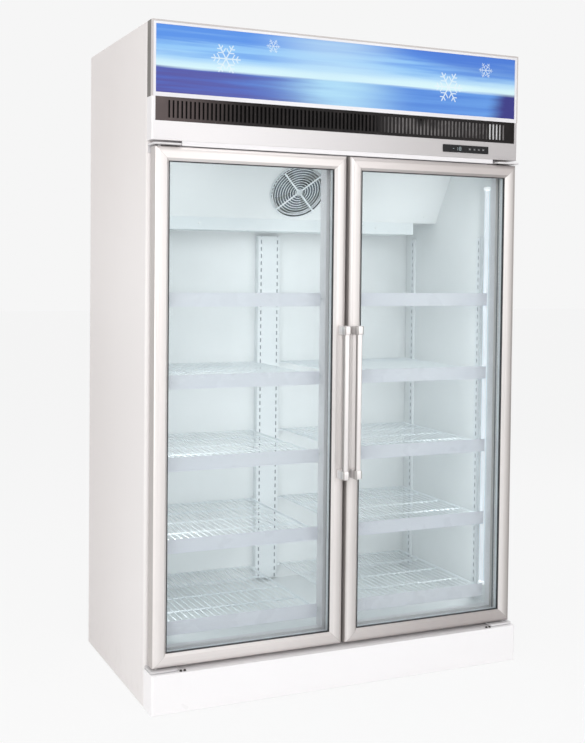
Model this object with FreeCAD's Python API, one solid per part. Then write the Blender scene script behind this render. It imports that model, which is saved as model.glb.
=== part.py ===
"""Upright two-door glass freezer with its machine on top, in millimetres.

+X is to the right, +Y to the back, +Z up. The origin is on the floor, under the middle of the whole freezer.
"""

import FreeCAD, Part
import math
import os

os.makedirs("parts", exist_ok=True)
Vector = FreeCAD.Vector

# Driving dimensions
WIDTH = 1250.0
HEIGHT = 2000.0
BODY_DEPTH = 700.0  # lightbox front to back panel
DOOR_PROUD = 15.0  # door face ahead of the lightbox
HANDLE_REACH = 48.0  # handle face ahead of the door
DOOR_DEPTH = 48.0
DOOR_FRAME_W = 44.0
GASKET_T = 12.0
FLOOR_CLEAR = 3.0
KICK_H = 115.0
KICK_GAP = 11.0  # kick panel to door
HINGE_GAP = 18.0  # door to fascia
FASCIA_H = 55.0
GRILLE_H = 69.0
LIGHTBOX_H = 218.0
SIDE_WALL = 50.0
BACK_WALL = 60.0
FLOOR_WALL = 52.0
CEILING_WALL = 50.0
SKIN = 1.5  # painted steel sheet
LINER = 2.0
FIT = 0.3  # clearance between pieces that slot together
RUN = 0.05  # radial clearance of a pin or shaft in its bore
CUT = 5.0  # how far a cutting tool runs past a face
HINGE_EDGE = 3.0  # hinge plate inside the cabinet's side
HINGE_LEN = 83.0

# Planes that the pieces share
OVERALL_DEPTH = HANDLE_REACH + DOOR_PROUD + BODY_DEPTH
Y_HANDLE = -OVERALL_DEPTH / 2
Y_DOOR = Y_HANDLE + HANDLE_REACH
Y_FRONT = Y_DOOR + DOOR_PROUD
Y_DOOR_REAR = Y_DOOR + DOOR_DEPTH
Y_FRAME = Y_DOOR_REAR + GASKET_T
Y_BACK = OVERALL_DEPTH / 2
X_SIDE = WIDTH / 2
X_SKIN = X_SIDE - SKIN
X_INNER = X_SIDE - SIDE_WALL
Y_INNER = Y_BACK - BACK_WALL
Z_KICK = FLOOR_CLEAR + KICK_H
Z_DOOR_LOW = Z_KICK + KICK_GAP
Z_LIGHTBOX = HEIGHT - LIGHTBOX_H
Z_GRILLE = Z_LIGHTBOX - GRILLE_H
Z_FASCIA = Z_GRILLE - FASCIA_H
Z_DOOR_TOP = Z_FASCIA - HINGE_GAP
Z_FLOOR = Z_KICK + FLOOR_WALL
DECK_OVER_FASCIA = 42.0  # underside of the machine deck above the fascia's foot
Z_DECK = Z_FASCIA + DECK_OVER_FASCIA
Z_CEILING = Z_DECK - CEILING_WALL


def save(name, *solids):
    Part.makeCompound(list(solids)).exportStep(os.path.join("parts", name + ".step"))


def box(x0, x1, y0, y1, z0, z1):
    return Part.makeBox(x1 - x0, y1 - y0, z1 - z0, Vector(x0, y0, z0))


def rod(radius, start, end):
    run = end - start
    return Part.makeCylinder(radius, run.Length, start, run)


def fuse(first, *others):
    return first.multiFuse(list(others)).removeSplitter().Solids[0]


def cut(body, *tools):
    return body.cut(Part.makeCompound(list(tools))).Solids[0]


def mirrored(shape):
    return shape.mirror(Vector(0, 0, 0), Vector(1, 0, 0))


def both_sides(shapes):
    return list(shapes) + [mirrored(s) for s in shapes]


def outline(corners, place):
    """A closed wire through corners (u, v, radius), rounded by their radii. place makes (u, v) a point."""
    flat = [Vector(u, v, 0) for u, v, _ in corners]
    marks = []
    for i, (u, v, radius) in enumerate(corners):
        here, before, after = flat[i], flat[i - 1], flat[(i + 1) % len(flat)]
        if not radius:
            marks.append((here,))
            continue
        to_before = (before - here).normalize()
        to_after = (after - here).normalize()
        half = to_before.getAngle(to_after) / 2
        reach = radius / math.tan(half)
        middle = (to_before + to_after).normalize()
        centre = here + middle * (radius / math.sin(half))
        marks.append((here + to_before * reach, centre - middle * radius, here + to_after * reach))
    edges = []
    for i, mark in enumerate(marks):
        points = [place(p.x, p.y) for p in mark]
        if len(points) > 1:
            edges.append(Part.Arc(*points).toShape())
        ahead = marks[(i + 1) % len(marks)][0]
        start = points[-1]
        end = place(ahead.x, ahead.y)
        edges.append(Part.LineSegment(start, end).toShape())
    return Part.Wire(edges)


def extruded(corners, place, run):
    return Part.Face(outline(corners, place)).extrude(run)


def mitred_frame(x0, x1, z0, z1, y_front, corners):
    """Four bars round a rectangle, mitred at its corners. A section corner is (inward, depth, radius)."""
    reach = max(u for u, _, _ in corners)
    deep = max(v for _, v, _ in corners)
    shallow = min(v for _, v, _ in corners)
    low_left, high_left = Vector(x0, y_front, z0), Vector(x0, y_front, z1)
    low_right, high_right = Vector(x1, y_front, z0), Vector(x1, y_front, z1)
    right, up, back = Vector(1, 0, 0), Vector(0, 0, 1), Vector(0, 1, 0)
    sides = (
        (low_left, high_left, right),
        (low_right, high_right, right * -1),
        (low_left, low_right, up),
        (high_left, high_right, up * -1),
    )
    bars = []
    for start, end, inward in sides:
        along = (end - start).normalize()
        bar = extruded(corners, lambda u, v, s=start, i=inward: s + i * u + back * v, end - start)
        lift = back * (shallow - CUT)
        corner_points = [start, end, end + (inward - along) * reach, start + (inward + along) * reach]
        wedge = Part.makePolygon([p + lift for p in corner_points + [start]])
        bars.append(bar.common(Part.Face(wedge).extrude(back * (deep - shallow + CUT * 2))).Solids[0])
    return bars


# Outer sheets: side panels folded to a rounded front edge and a rear return, with the back panel between
FRONT_RETURN = SIDE_WALL
REAR_RETURN = 22.0
EDGE_ROUND = 12.0
FRAME_T = 25.0  # front frame bars behind the folded sheet
Y_FRAME_REAR = Y_FRAME + SKIN + FRAME_T

side_sheet = [
    (-X_SIDE, Y_FRAME, EDGE_ROUND),
    (-X_SIDE + FRONT_RETURN, Y_FRAME, 0),
    (-X_SIDE + FRONT_RETURN, Y_FRAME + SKIN, 0),
    (-X_SKIN, Y_FRAME + SKIN, EDGE_ROUND - SKIN),
    (-X_SKIN, Y_BACK - SKIN, 0),
    (-X_SIDE + REAR_RETURN, Y_BACK - SKIN, 0),
    (-X_SIDE + REAR_RETURN, Y_BACK, 0),
    (-X_SIDE, Y_BACK, 0),
]
side_panel = extruded(side_sheet, lambda u, v: Vector(u, v, FLOOR_CLEAR), Vector(0, 0, HEIGHT - FLOOR_CLEAR))
save("side_panel_left", side_panel)
save("side_panel_right", mirrored(side_panel))

Y_SHEET = Y_BACK - SKIN
save("back_panel", box(-X_SKIN, X_SKIN, Y_SHEET - SKIN, Y_SHEET, FLOOR_CLEAR, Z_DECK))

# Foam between the sheets and the inner liner
Y_FOAM = Y_SHEET - SKIN
X_LINER = X_INNER + LINER
side_foam = box(-X_SKIN, -X_LINER, Y_FRAME_REAR, Y_FOAM, Z_KICK, Z_DECK)
save(
    "insulation",
    *both_sides([side_foam]),
    box(-X_LINER, X_LINER, Y_INNER + LINER, Y_FOAM, Z_KICK, Z_DECK),
    box(-X_LINER, X_LINER, Y_FRAME_REAR, Y_INNER + LINER, Z_KICK, Z_FLOOR - LINER),
    box(-X_LINER, X_LINER, Y_FRAME_REAR, Y_INNER + LINER, Z_CEILING + LINER, Z_DECK),
)

side_liner = box(-X_LINER, -X_INNER, Y_FRAME_REAR, Y_INNER + LINER, Z_FLOOR - LINER, Z_CEILING + LINER)
save(
    "liner_panels",
    *both_sides([side_liner]),
    box(-X_INNER, X_INNER, Y_INNER, Y_INNER + LINER, Z_FLOOR - LINER, Z_CEILING + LINER),
    box(-X_INNER, X_INNER, Y_FRAME_REAR, Y_INNER, Z_FLOOR - LINER, Z_FLOOR),
    box(-X_INNER, X_INNER, Y_FRAME_REAR, Y_INNER, Z_CEILING, Z_CEILING + LINER),
)

# Front frame that the gaskets close on: posts behind the folded sheet, top rail, sill and centre mullion
HEADER_DROP = 34.0  # top rail below the door's top edge
SILL_FOOT = 38.0  # sill below the kick panel's top
MULLION_W = 96.0
MULLION_T = 45.0
MULLION_ROUND = 4.0
Z_HEADER = Z_DOOR_TOP - HEADER_DROP
Z_SILL = Z_KICK - SILL_FOOT
X_MULLION = MULLION_W / 2

post = box(-X_SKIN, -X_INNER, Y_FRAME + SKIN, Y_FRAME_REAR, Z_KICK, Z_DECK)
x_relief, y_relief = -X_SIDE + EDGE_ROUND, Y_FRAME + EDGE_ROUND
corner_relief = box(-X_SKIN - CUT, x_relief, Y_FRAME, y_relief, Z_KICK - CUT, Z_DECK + CUT)
post = cut(post, corner_relief)
save(
    "front_frame",
    *both_sides([post]),
    box(-X_INNER, X_INNER, Y_FRAME, Y_FRAME_REAR, Z_HEADER, Z_DECK),
    box(-X_INNER, X_INNER, Y_FRAME, Y_FRAME_REAR, Z_SILL, Z_FLOOR),
)

mullion_section = [
    (-X_MULLION, Y_FRAME, 0),
    (X_MULLION, Y_FRAME, 0),
    (X_MULLION, Y_FRAME + MULLION_T, MULLION_ROUND),
    (-X_MULLION, Y_FRAME + MULLION_T, MULLION_ROUND),
]
save(
    "centre_mullion",
    extruded(mullion_section, lambda u, v: Vector(u, v, Z_FLOOR), Vector(0, 0, Z_HEADER - Z_FLOOR)),
)

# Base frame of square tube, with a levelling foot near each corner
TUBE = 40.0
FOOT_R = 20.0
FOOT_SIDES = 6
FULL_TURN = 360
FOOT_T = 12.0
STEM_R = 6.0
FOOT_INSET_Y = 60.0
Z_TUBE = Z_KICK - TUBE
Y_TUBE = Y_FRAME_REAR
X_TUBE = X_SKIN - TUBE

side_tube = box(-X_SKIN, -X_TUBE, Y_TUBE, Y_FOAM, Z_TUBE, Z_KICK)
tube_middle = (Y_TUBE + Y_FOAM) / 2
tube_ys = (Y_TUBE, tube_middle - TUBE / 2, Y_FOAM - TUBE)
cross_tubes = [box(-X_TUBE, X_TUBE, y, y + TUBE, Z_TUBE, Z_KICK) for y in tube_ys]
save("base_frame", *both_sides([side_tube]), *cross_tubes)



def foot_prism(radius, z0, z1):
    """An upright prism about Z, with flats for a spanner."""
    corners = []
    for i in range(FOOT_SIDES):
        angle = math.radians(FULL_TURN * i / FOOT_SIDES)
        corners.append((radius * math.cos(angle), radius * math.sin(angle), 0))
    return extruded(corners, lambda u, v: Vector(u, v, z0), Vector(0, 0, z1 - z0))


foot = fuse(foot_prism(FOOT_R, 0, FOOT_T), foot_prism(STEM_R, FOOT_T, Z_TUBE))
X_FOOT = X_TUBE + TUBE / 2
feet = []
for y in (Y_TUBE + FOOT_INSET_Y, Y_FOAM - FOOT_INSET_Y):
    feet.append(foot.translated(Vector(-X_FOOT, y, 0)))
save("levelling_feet", *both_sides(feet))

# Kick panel: a folded sheet with side returns to the front frame and a top return under the doors
KICK_PROUD = 20.0  # kick face ahead of the doors
KICK_ROUND = 8.0
KICK_TOP_CLEAR = 6.0  # top return short of the front frame, past the hinge flanges
KICK_LIP = 14.0
TAB_W = 34.0  # end tabs screwed to the side panels' front fold
TAB_H = 50.0
Y_KICK = Y_DOOR - KICK_PROUD

kick_sheet = [
    (-X_SIDE, Y_FRAME, 0),
    (-X_SIDE, Y_KICK, KICK_ROUND),
    (X_SIDE, Y_KICK, KICK_ROUND),
    (X_SIDE, Y_FRAME, 0),
    (X_SKIN, Y_FRAME, 0),
    (X_SKIN, Y_KICK + SKIN, KICK_ROUND - SKIN),
    (-X_SKIN, Y_KICK + SKIN, KICK_ROUND - SKIN),
    (-X_SKIN, Y_FRAME, 0),
]
kick_wall = extruded(kick_sheet, lambda u, v: Vector(u, v, FLOOR_CLEAR), Vector(0, 0, KICK_H))


def kick_return(depth_to, z):
    corners = [
        (-X_SKIN, depth_to, 0),
        (-X_SKIN, Y_KICK + SKIN, KICK_ROUND - SKIN),
        (X_SKIN, Y_KICK + SKIN, KICK_ROUND - SKIN),
        (X_SKIN, depth_to, 0),
    ]
    return extruded(corners, lambda u, v: Vector(u, v, z), Vector(0, 0, SKIN))


tab = box(-X_SKIN, -X_SKIN + TAB_W, Y_FRAME - SKIN, Y_FRAME, FLOOR_CLEAR, FLOOR_CLEAR + TAB_H)
save(
    "kick_panel",
    fuse(
        kick_wall,
        *both_sides([tab]),
        kick_return(Y_FRAME - KICK_TOP_CLEAR, Z_KICK - SKIN),
        kick_return(Y_KICK + SKIN + KICK_LIP, FLOOR_CLEAR),
    ),
)

# Lightbox: housing, mitred snap frame, printed panel and two lamp bars on its back plate
SNAP_LIP = 12.0
SNAP_REAR_LIP = 8.0
SNAP_WALL = 2.0
SNAP_DEPTH = 10.0
PANEL_T = 3.0
LAMP_BAR_W = 30.0
LAMP_BAR_T = 10.0
LAMP_END_GAP = 40.0
LAMP_SHARES = (1 / 3, 2 / 3)  # lamp bars' heights in the lightbox
Y_SNAP = Y_FRONT + SNAP_DEPTH

housing = cut(
    box(-X_SIDE, X_SIDE, Y_SNAP, Y_FRAME, Z_LIGHTBOX, HEIGHT),
    box(-X_SKIN, X_SKIN, Y_SNAP - CUT, Y_FRAME - SKIN, Z_LIGHTBOX + SKIN, HEIGHT - SKIN),
)
save("lightbox_housing", housing)

slot_rear = SNAP_WALL + PANEL_T + FIT
snap_section = [
    (0, 0, 0),
    (SNAP_LIP, 0, 0),
    (SNAP_LIP, SNAP_WALL, 0),
    (SNAP_WALL, SNAP_WALL, 0),
    (SNAP_WALL, slot_rear, 0),
    (SNAP_REAR_LIP, slot_rear, 0),
    (SNAP_REAR_LIP, slot_rear + SNAP_WALL, 0),
    (SNAP_WALL, slot_rear + SNAP_WALL, 0),
    (SNAP_WALL, SNAP_DEPTH, 0),
    (0, SNAP_DEPTH, 0),
]
save("lightbox_frame", *mitred_frame(-X_SIDE, X_SIDE, Z_LIGHTBOX, HEIGHT, Y_FRONT, snap_section))

panel_edge = SNAP_WALL + FIT
save(
    "lightbox_graphic",
    box(
        -X_SIDE + panel_edge,
        X_SIDE - panel_edge,
        Y_FRONT + SNAP_WALL,
        Y_FRONT + SNAP_WALL + PANEL_T,
        Z_LIGHTBOX + panel_edge,
        HEIGHT - panel_edge,
    ),
)

lamp_bars = []
for share in LAMP_SHARES:
    z = Z_LIGHTBOX + LIGHTBOX_H * share
    lamp_bars.append(
        box(
            -X_SKIN + LAMP_END_GAP,
            X_SKIN - LAMP_END_GAP,
            Y_FRAME - SKIN - LAMP_BAR_T,
            Y_FRAME - SKIN,
            z - LAMP_BAR_W / 2,
            z + LAMP_BAR_W / 2,
        )
    )
save("lightbox_lamps", *lamp_bars)

# Vent grille: a black moulding with a row of upright slots that lean sideways through its wall
GRILLE_T = 3.0
GRILLE_WALL = 2.0
SLOT_PITCH = 13.0
SLOT_W = 6.5
SLOT_H = 50.0
SLOT_LEAN = 3.0  # sideways shift of each slot through the wall
GRILLE_END = 43.0  # plain ends beside the slots
GRILLE_ROUND = 3.0
CHEEK_W = 11.0  # the fascia's cheeks that frame the grille's ends
X_GRILLE = X_SIDE - CHEEK_W - FIT

grille_section = [
    (-X_GRILLE, Y_FRAME, 0),
    (-X_GRILLE, Y_FRONT, GRILLE_ROUND),
    (X_GRILLE, Y_FRONT, GRILLE_ROUND),
    (X_GRILLE, Y_FRAME, 0),
]
grille_body = extruded(grille_section, lambda u, v: Vector(u, v, Z_GRILLE), Vector(0, 0, GRILLE_H))
grille_hollow = box(
    -X_GRILLE + GRILLE_WALL,
    X_GRILLE - GRILLE_WALL,
    Y_FRONT + GRILLE_T,
    Y_FRAME + CUT,
    Z_GRILLE + GRILLE_WALL,
    Z_LIGHTBOX - GRILLE_WALL,
)
slot_count = int((WIDTH - GRILLE_END * 2) // SLOT_PITCH)
slot_low = Z_GRILLE + (GRILLE_H - SLOT_H) / 2
slot_row = []
for i in range(slot_count):
    x = (i - (slot_count - 1) / 2) * SLOT_PITCH - SLOT_W / 2
    lean = SLOT_LEAN * (GRILLE_T + CUT * 2) / GRILLE_T
    slot_plan = [
        (x - lean / 2, Y_FRONT - CUT, 0),
        (x + SLOT_W - lean / 2, Y_FRONT - CUT, 0),
        (x + SLOT_W + lean / 2, Y_FRONT + GRILLE_T + CUT, 0),
        (x + lean / 2, Y_FRONT + GRILLE_T + CUT, 0),
    ]
    slot_row.append(extruded(slot_plan, lambda u, v: Vector(u, v, slot_low), Vector(0, 0, SLOT_H)))
save("vent_grille", cut(grille_body, grille_hollow, *slot_row))

# Fascia: a folded sheet box with a window for the controller, a cheek at each end of the grille above it,
# and a strip that hangs at its foot over the doors
CONTROL_W = 172.0
CONTROL_H = 24.0
CONTROL_IN = 198.5  # middle of the controller from the right side
CONTROL_BODY_INSET = 3.0  # body smaller than its bezel all round
CONTROL_BODY_DEPTH = 26.0
BEZEL_T = 2.0
BEZEL_ROUND = 2.0
FASCIA_ROUND = 5.0
STRIP_SET = 2.0  # foot strip behind the fascia's face
STRIP_OVER_DOOR = 4.0
STRIP_END = 6.0  # foot strip clear of the hinge plates
KEY_W = 11.0
KEY_H = 7.0
KEY_PITCH = 17.0
KEY_T = 4.0
KEY_PROUD = 1.5
KEY_TRAVEL = 1.2
KEY_FIRST = 14.0  # first key's middle from the controller's middle
WINDOW_W = 52.0
WINDOW_H = 14.0
WINDOW_DEEP = 0.6
WINDOW_X = -34.0  # middle of the display from the controller's middle
CONTROL_X = X_SIDE - CONTROL_IN
control_z = Z_FASCIA + FASCIA_H / 2

fascia_section = [
    (-X_SIDE, Y_FRAME, 0),
    (-X_SIDE, Y_FRONT, FASCIA_ROUND),
    (X_SIDE, Y_FRONT, FASCIA_ROUND),
    (X_SIDE, Y_FRAME, 0),
]
fascia_body = extruded(fascia_section, lambda u, v: Vector(u, v, Z_FASCIA), Vector(0, 0, FASCIA_H))
cheek_section = [
    (-X_SIDE, Y_FRAME, 0),
    (-X_SIDE, Y_FRONT, FASCIA_ROUND),
    (-X_SIDE + CHEEK_W, Y_FRONT, 0),
    (-X_SIDE + CHEEK_W, Y_FRONT + SKIN, 0),
    (-X_SKIN, Y_FRONT + SKIN, FASCIA_ROUND - SKIN),
    (-X_SKIN, Y_FRAME, 0),
]
cheek = extruded(cheek_section, lambda u, v: Vector(u, v, Z_GRILLE), Vector(0, 0, GRILLE_H))
x_strip = X_SIDE - HINGE_EDGE - HINGE_LEN - STRIP_END
y_strip = Y_FRONT + STRIP_SET
foot_strip = box(-x_strip, x_strip, y_strip, y_strip + SKIN, Z_DOOR_TOP + STRIP_OVER_DOOR, Z_FASCIA + SKIN)
fascia_hollow_section = [
    (-X_SKIN, Y_FRAME + CUT, 0),
    (-X_SKIN, Y_FRONT + SKIN, FASCIA_ROUND - SKIN),
    (X_SKIN, Y_FRONT + SKIN, FASCIA_ROUND - SKIN),
    (X_SKIN, Y_FRAME + CUT, 0),
]
fascia_hollow = extruded(
    fascia_hollow_section, lambda u, v: Vector(u, v, Z_FASCIA + SKIN), Vector(0, 0, FASCIA_H - SKIN * 2)
)
body_w = CONTROL_W / 2 - CONTROL_BODY_INSET
body_h = CONTROL_H / 2 - CONTROL_BODY_INSET
window_cut = box(
    CONTROL_X - body_w - FIT,
    CONTROL_X + body_w + FIT,
    Y_FRONT - CUT,
    Y_FRONT + CUT,
    control_z - body_h - FIT,
    control_z + body_h + FIT,
)
fascia_shell = cut(fascia_body, fascia_hollow, window_cut)
save("fascia_panel", fuse(fascia_shell, *both_sides([cheek]), foot_strip))

bezel_corners = [
    (CONTROL_X - CONTROL_W / 2, control_z - CONTROL_H / 2, BEZEL_ROUND),
    (CONTROL_X + CONTROL_W / 2, control_z - CONTROL_H / 2, BEZEL_ROUND),
    (CONTROL_X + CONTROL_W / 2, control_z + CONTROL_H / 2, BEZEL_ROUND),
    (CONTROL_X - CONTROL_W / 2, control_z + CONTROL_H / 2, BEZEL_ROUND),
]
Y_BEZEL = Y_FRONT - BEZEL_T
bezel = extruded(bezel_corners, lambda u, v: Vector(u, Y_BEZEL, v), Vector(0, BEZEL_T, 0))
control_body = box(
    CONTROL_X - body_w,
    CONTROL_X + body_w,
    Y_FRONT,
    Y_FRONT + CONTROL_BODY_DEPTH,
    control_z - body_h,
    control_z + body_h,
)
display_recess = box(
    CONTROL_X + WINDOW_X - WINDOW_W / 2,
    CONTROL_X + WINDOW_X + WINDOW_W / 2,
    Y_BEZEL - CUT,
    Y_BEZEL + WINDOW_DEEP,
    control_z - WINDOW_H / 2,
    control_z + WINDOW_H / 2,
)
KEY_NAMES = ("button_set", "button_defrost", "button_up", "button_down")
key_pocket_depth = KEY_T - KEY_PROUD + KEY_TRAVEL + FIT
key_pockets = []
for i, name in enumerate(KEY_NAMES):
    x = CONTROL_X + KEY_FIRST + KEY_PITCH * i
    half_w, half_h = KEY_W / 2, KEY_H / 2
    key_front = Y_BEZEL - KEY_PROUD
    save(
        name,
        box(x - half_w, x + half_w, key_front, key_front + KEY_T, control_z - half_h, control_z + half_h),
    )
    key_pockets.append(
        box(
            x - half_w - FIT,
            x + half_w + FIT,
            Y_BEZEL - CUT,
            Y_BEZEL + key_pocket_depth,
            control_z - half_h - FIT,
            control_z + half_h + FIT,
        )
    )
save("controller", cut(fuse(bezel, control_body), display_recess, *key_pockets))

# Machine deck and vented top cover of the machine compartment
DECK_T = 2.0
VENT_H = 10.0
VENT_END = 223.5  # plain sheet beside the vents
VENT_GAP = 30.0
VENT_PITCH_Y = 42.0
VENT_COLUMNS = 5
VENT_ROWS = 3
VENT_ROW_DEPTH = 250.0  # middle of the top cover's vents ahead of the back
VENT_PITCH_X = (X_SKIN - VENT_END) * 2 / VENT_COLUMNS
VENT_W = VENT_PITCH_X - VENT_GAP
Z_MACHINE = Z_DECK + DECK_T
save("machine_deck", box(-X_SKIN, X_SKIN, Y_FRAME_REAR, Y_FOAM, Z_DECK, Z_MACHINE))


def vent_slots(middle_x, middle_v, columns, rows, place, through):
    found = []
    for column in range(columns):
        for row in range(rows):
            u = middle_x + (column - (columns - 1) / 2) * VENT_PITCH_X
            v = middle_v + (row - (rows - 1) / 2) * VENT_PITCH_Y
            corners = [
                (u - VENT_W / 2, v - VENT_H / 2, 0),
                (u + VENT_W / 2, v - VENT_H / 2, 0),
                (u + VENT_W / 2, v + VENT_H / 2, 0),
                (u - VENT_W / 2, v + VENT_H / 2, 0),
            ]
            found.append(extruded(corners, place, through))
    return found


top_sheet = box(-X_SKIN, X_SKIN, Y_FRAME, Y_FOAM, HEIGHT - SKIN, HEIGHT)
x_notch, y_notch = -X_SIDE + FRONT_RETURN + FIT, Y_FRAME + EDGE_ROUND
fold_notch = box(-X_SIDE - CUT, x_notch, Y_FRAME - CUT, y_notch, HEIGHT - SKIN - CUT, HEIGHT + CUT)
top_vents = vent_slots(
    0,
    Y_BACK - VENT_ROW_DEPTH,
    VENT_COLUMNS,
    VENT_ROWS,
    lambda u, v: Vector(u, v, HEIGHT - SKIN - CUT),
    Vector(0, 0, SKIN + CUT * 2),
)
save("top_cover", cut(top_sheet, *both_sides([fold_notch]), *top_vents))

# Rear grille with an opening for the mains inlet, which is a block on the electrical box behind it
INLET_W = 50.0
INLET_H = 30.0
INLET_WALL = 3.0
INLET_DEEP = 20.0
INLET_IN = 125.0  # inlet from the right side
INLET_OVER_DECK = 60.0
INLET_X = X_SIDE - INLET_IN
inlet_z = Z_MACHINE + INLET_OVER_DECK


def inlet_block(grow, y0, y1):
    half_w, half_h = INLET_W / 2 + grow, INLET_H / 2 + grow
    return box(INLET_X - half_w, INLET_X + half_w, y0, y1, inlet_z - half_h, inlet_z + half_h)


rear_sheet = box(-X_SKIN, X_SKIN, Y_SHEET - SKIN, Y_SHEET, Z_DECK, HEIGHT)
rear_vents = vent_slots(
    0,
    (Z_DECK + HEIGHT) / 2,
    VENT_COLUMNS,
    VENT_ROWS,
    lambda u, v: Vector(u, Y_SHEET - SKIN - CUT, v),
    Vector(0, SKIN + CUT * 2, 0),
)
save("rear_grille", cut(rear_sheet, inlet_block(FIT, Y_FOAM - CUT, Y_BACK + CUT), *rear_vents))

EBOX_W = 150.0
EBOX_D = 90.0
EBOX_H = 120.0
EBOX_GAP = 4.0  # box ahead of the rear grille
y_ebox = Y_FOAM - EBOX_GAP
x_ebox = INLET_X - EBOX_W / 2
ebox = box(x_ebox, x_ebox + EBOX_W, y_ebox - EBOX_D, y_ebox, Z_MACHINE, Z_MACHINE + EBOX_H)
inlet_recess = inlet_block(-INLET_WALL, Y_BACK - INLET_DEEP, Y_BACK + CUT)
save("electrical_box", cut(fuse(ebox, inlet_block(0, y_ebox, Y_BACK)), inlet_recess))

# Hermetic compressor on its foot plate
COMP_IN = 255.0  # compressor from the left side
COMP_Y_FROM_BACK = 250.0
COMP_R = 75.0
COMP_H = 180.0
PLATE_W = 250.0
PLATE_D = 170.0
PLATE_T = 4.0
GROMMET_W = 26.0
GROMMET_H = 20.0
GROMMET_INSET = 20.0
COMP_X = -X_SIDE + COMP_IN
comp_y = Y_BACK - COMP_Y_FROM_BACK
plate_z = Z_MACHINE + GROMMET_H
can_z = plate_z + PLATE_T

can = rod(COMP_R, Vector(COMP_X, comp_y, can_z), Vector(COMP_X, comp_y, can_z + COMP_H))
foot_plate = box(
    COMP_X - PLATE_W / 2, COMP_X + PLATE_W / 2, comp_y - PLATE_D / 2, comp_y + PLATE_D / 2, plate_z, can_z
)
save("compressor", can, foot_plate)

grommets = []
for across in (-1, 1):
    for along in (-1, 1):
        x = COMP_X + across * (PLATE_W / 2 - GROMMET_INSET)
        y = comp_y + along * (PLATE_D / 2 - GROMMET_INSET)
        half = GROMMET_W / 2
        grommets.append(box(x - half, x + half, y - half, y + half, Z_MACHINE, plate_z))
save("compressor_mounts", *grommets)


FIN_SHARE = 1 / 3  # a fin's height of a coil's depth


def finned_coil(x0, x1, y0, y1, z0, z1, grooves, fin_t):
    """A coil block: fins stand out at the front and the back of its core of tubes."""
    depth = (y1 - y0) * FIN_SHARE
    pitch = (x1 - x0 - fin_t) / grooves
    cuts = []
    for i in range(grooves):
        x = x0 + fin_t + pitch * i
        cuts.append(box(x, x + pitch - fin_t, y0 - CUT, y0 + depth, z0 - CUT, z1 + CUT))
        cuts.append(box(x, x + pitch - fin_t, y1 - depth, y1 + CUT, z0 - CUT, z1 + CUT))
    return cut(box(x0, x1, y0, y1, z0, z1), *cuts)


# Condenser behind the vent grille, its shroud with a round mouth, fan and motor
COND_IN = 515.0  # condenser from the right side
COND_W = 340.0
COND_D = 60.0
COND_H = 250.0
COND_FRONT = 50.0  # condenser behind the front frame
GROOVE_COUNT = 10
FIN_T = 3.0
SHROUD_D = 45.0
SHROUD_T = 2.0
FAN_R = 100.0
FAN_TIP_GAP = 8.0
HUB_R = 20.0
HUB_H = 26.0
FAN_SHAFT_R = 4.0
FAN_SHAFT_OUT = 14.0
MOTOR_W = 66.0
MOTOR_H = 55.0
MOTOR_GAP = 6.0
STRAP_W = 22.0
STRAP_T = 3.0
BLADES = 4
BLADE_T = 2.0
ROOT_CHORD = 34.0
TIP_CHORD = 72.0
TIP_SWEEP = 22.0
BLADE_PITCH = 28.0
COND_X = X_SIDE - COND_IN
y_cond = Y_FRAME_REAR + COND_FRONT
y_shroud = y_cond + COND_D
y_shroud_rear = y_shroud + SHROUD_D
z_cond_top = Z_MACHINE + COND_H
fan_z = Z_MACHINE + COND_H / 2

x_cond, x_cond_end = COND_X - COND_W / 2, COND_X + COND_W / 2
save(
    "condenser",
    finned_coil(x_cond, x_cond_end, y_cond, y_shroud, Z_MACHINE, z_cond_top, GROOVE_COUNT, FIN_T),
)

shroud_outer = box(x_cond, x_cond_end, y_shroud, y_shroud_rear, Z_MACHINE, z_cond_top)
shroud_hollow = box(
    x_cond + SHROUD_T,
    x_cond_end - SHROUD_T,
    y_shroud - CUT,
    y_shroud_rear - SHROUD_T,
    Z_MACHINE + SHROUD_T,
    z_cond_top - SHROUD_T,
)
mouth_r = FAN_R + FAN_TIP_GAP
mouth = rod(mouth_r, Vector(COND_X, y_shroud, fan_z), Vector(COND_X, y_shroud_rear + CUT, fan_z))
save("condenser_shroud", cut(shroud_outer, shroud_hollow, mouth))


def axial_fan(radius):
    """A fan about +Z: hub from 0 to HUB_H, shaft stub behind it, and pitched blades with a swept tip."""
    hub = rod(HUB_R, Vector(0, 0, 0), Vector(0, 0, HUB_H))
    shaft = rod(FAN_SHAFT_R, Vector(0, 0, -FAN_SHAFT_OUT), Vector(0, 0, 0))
    tip = math.sqrt(radius**2 - (TIP_CHORD / 2) ** 2)
    plan = [
        (0, -ROOT_CHORD / 2, 0),
        (tip - TIP_SWEEP, -TIP_CHORD / 2, 0),
        (tip, -TIP_CHORD / 2 + TIP_SWEEP, 0),
        (tip, TIP_CHORD / 2, 0),
        (0, ROOT_CHORD / 2, 0),
    ]
    blade = extruded(plan, lambda u, v: Vector(u, v, 0), Vector(0, 0, BLADE_T))
    blade.rotate(Vector(0, 0, 0), Vector(1, 0, 0), BLADE_PITCH)
    blade.translate(Vector(0, 0, HUB_H / 2))
    blades = []
    for i in range(BLADES):
        turned = blade.copy()
        turned.rotate(Vector(0, 0, 0), Vector(0, 0, 1), FULL_TURN * i / BLADES)
        blades.append(turned)
    return fuse(hub, shaft, *blades)


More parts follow.
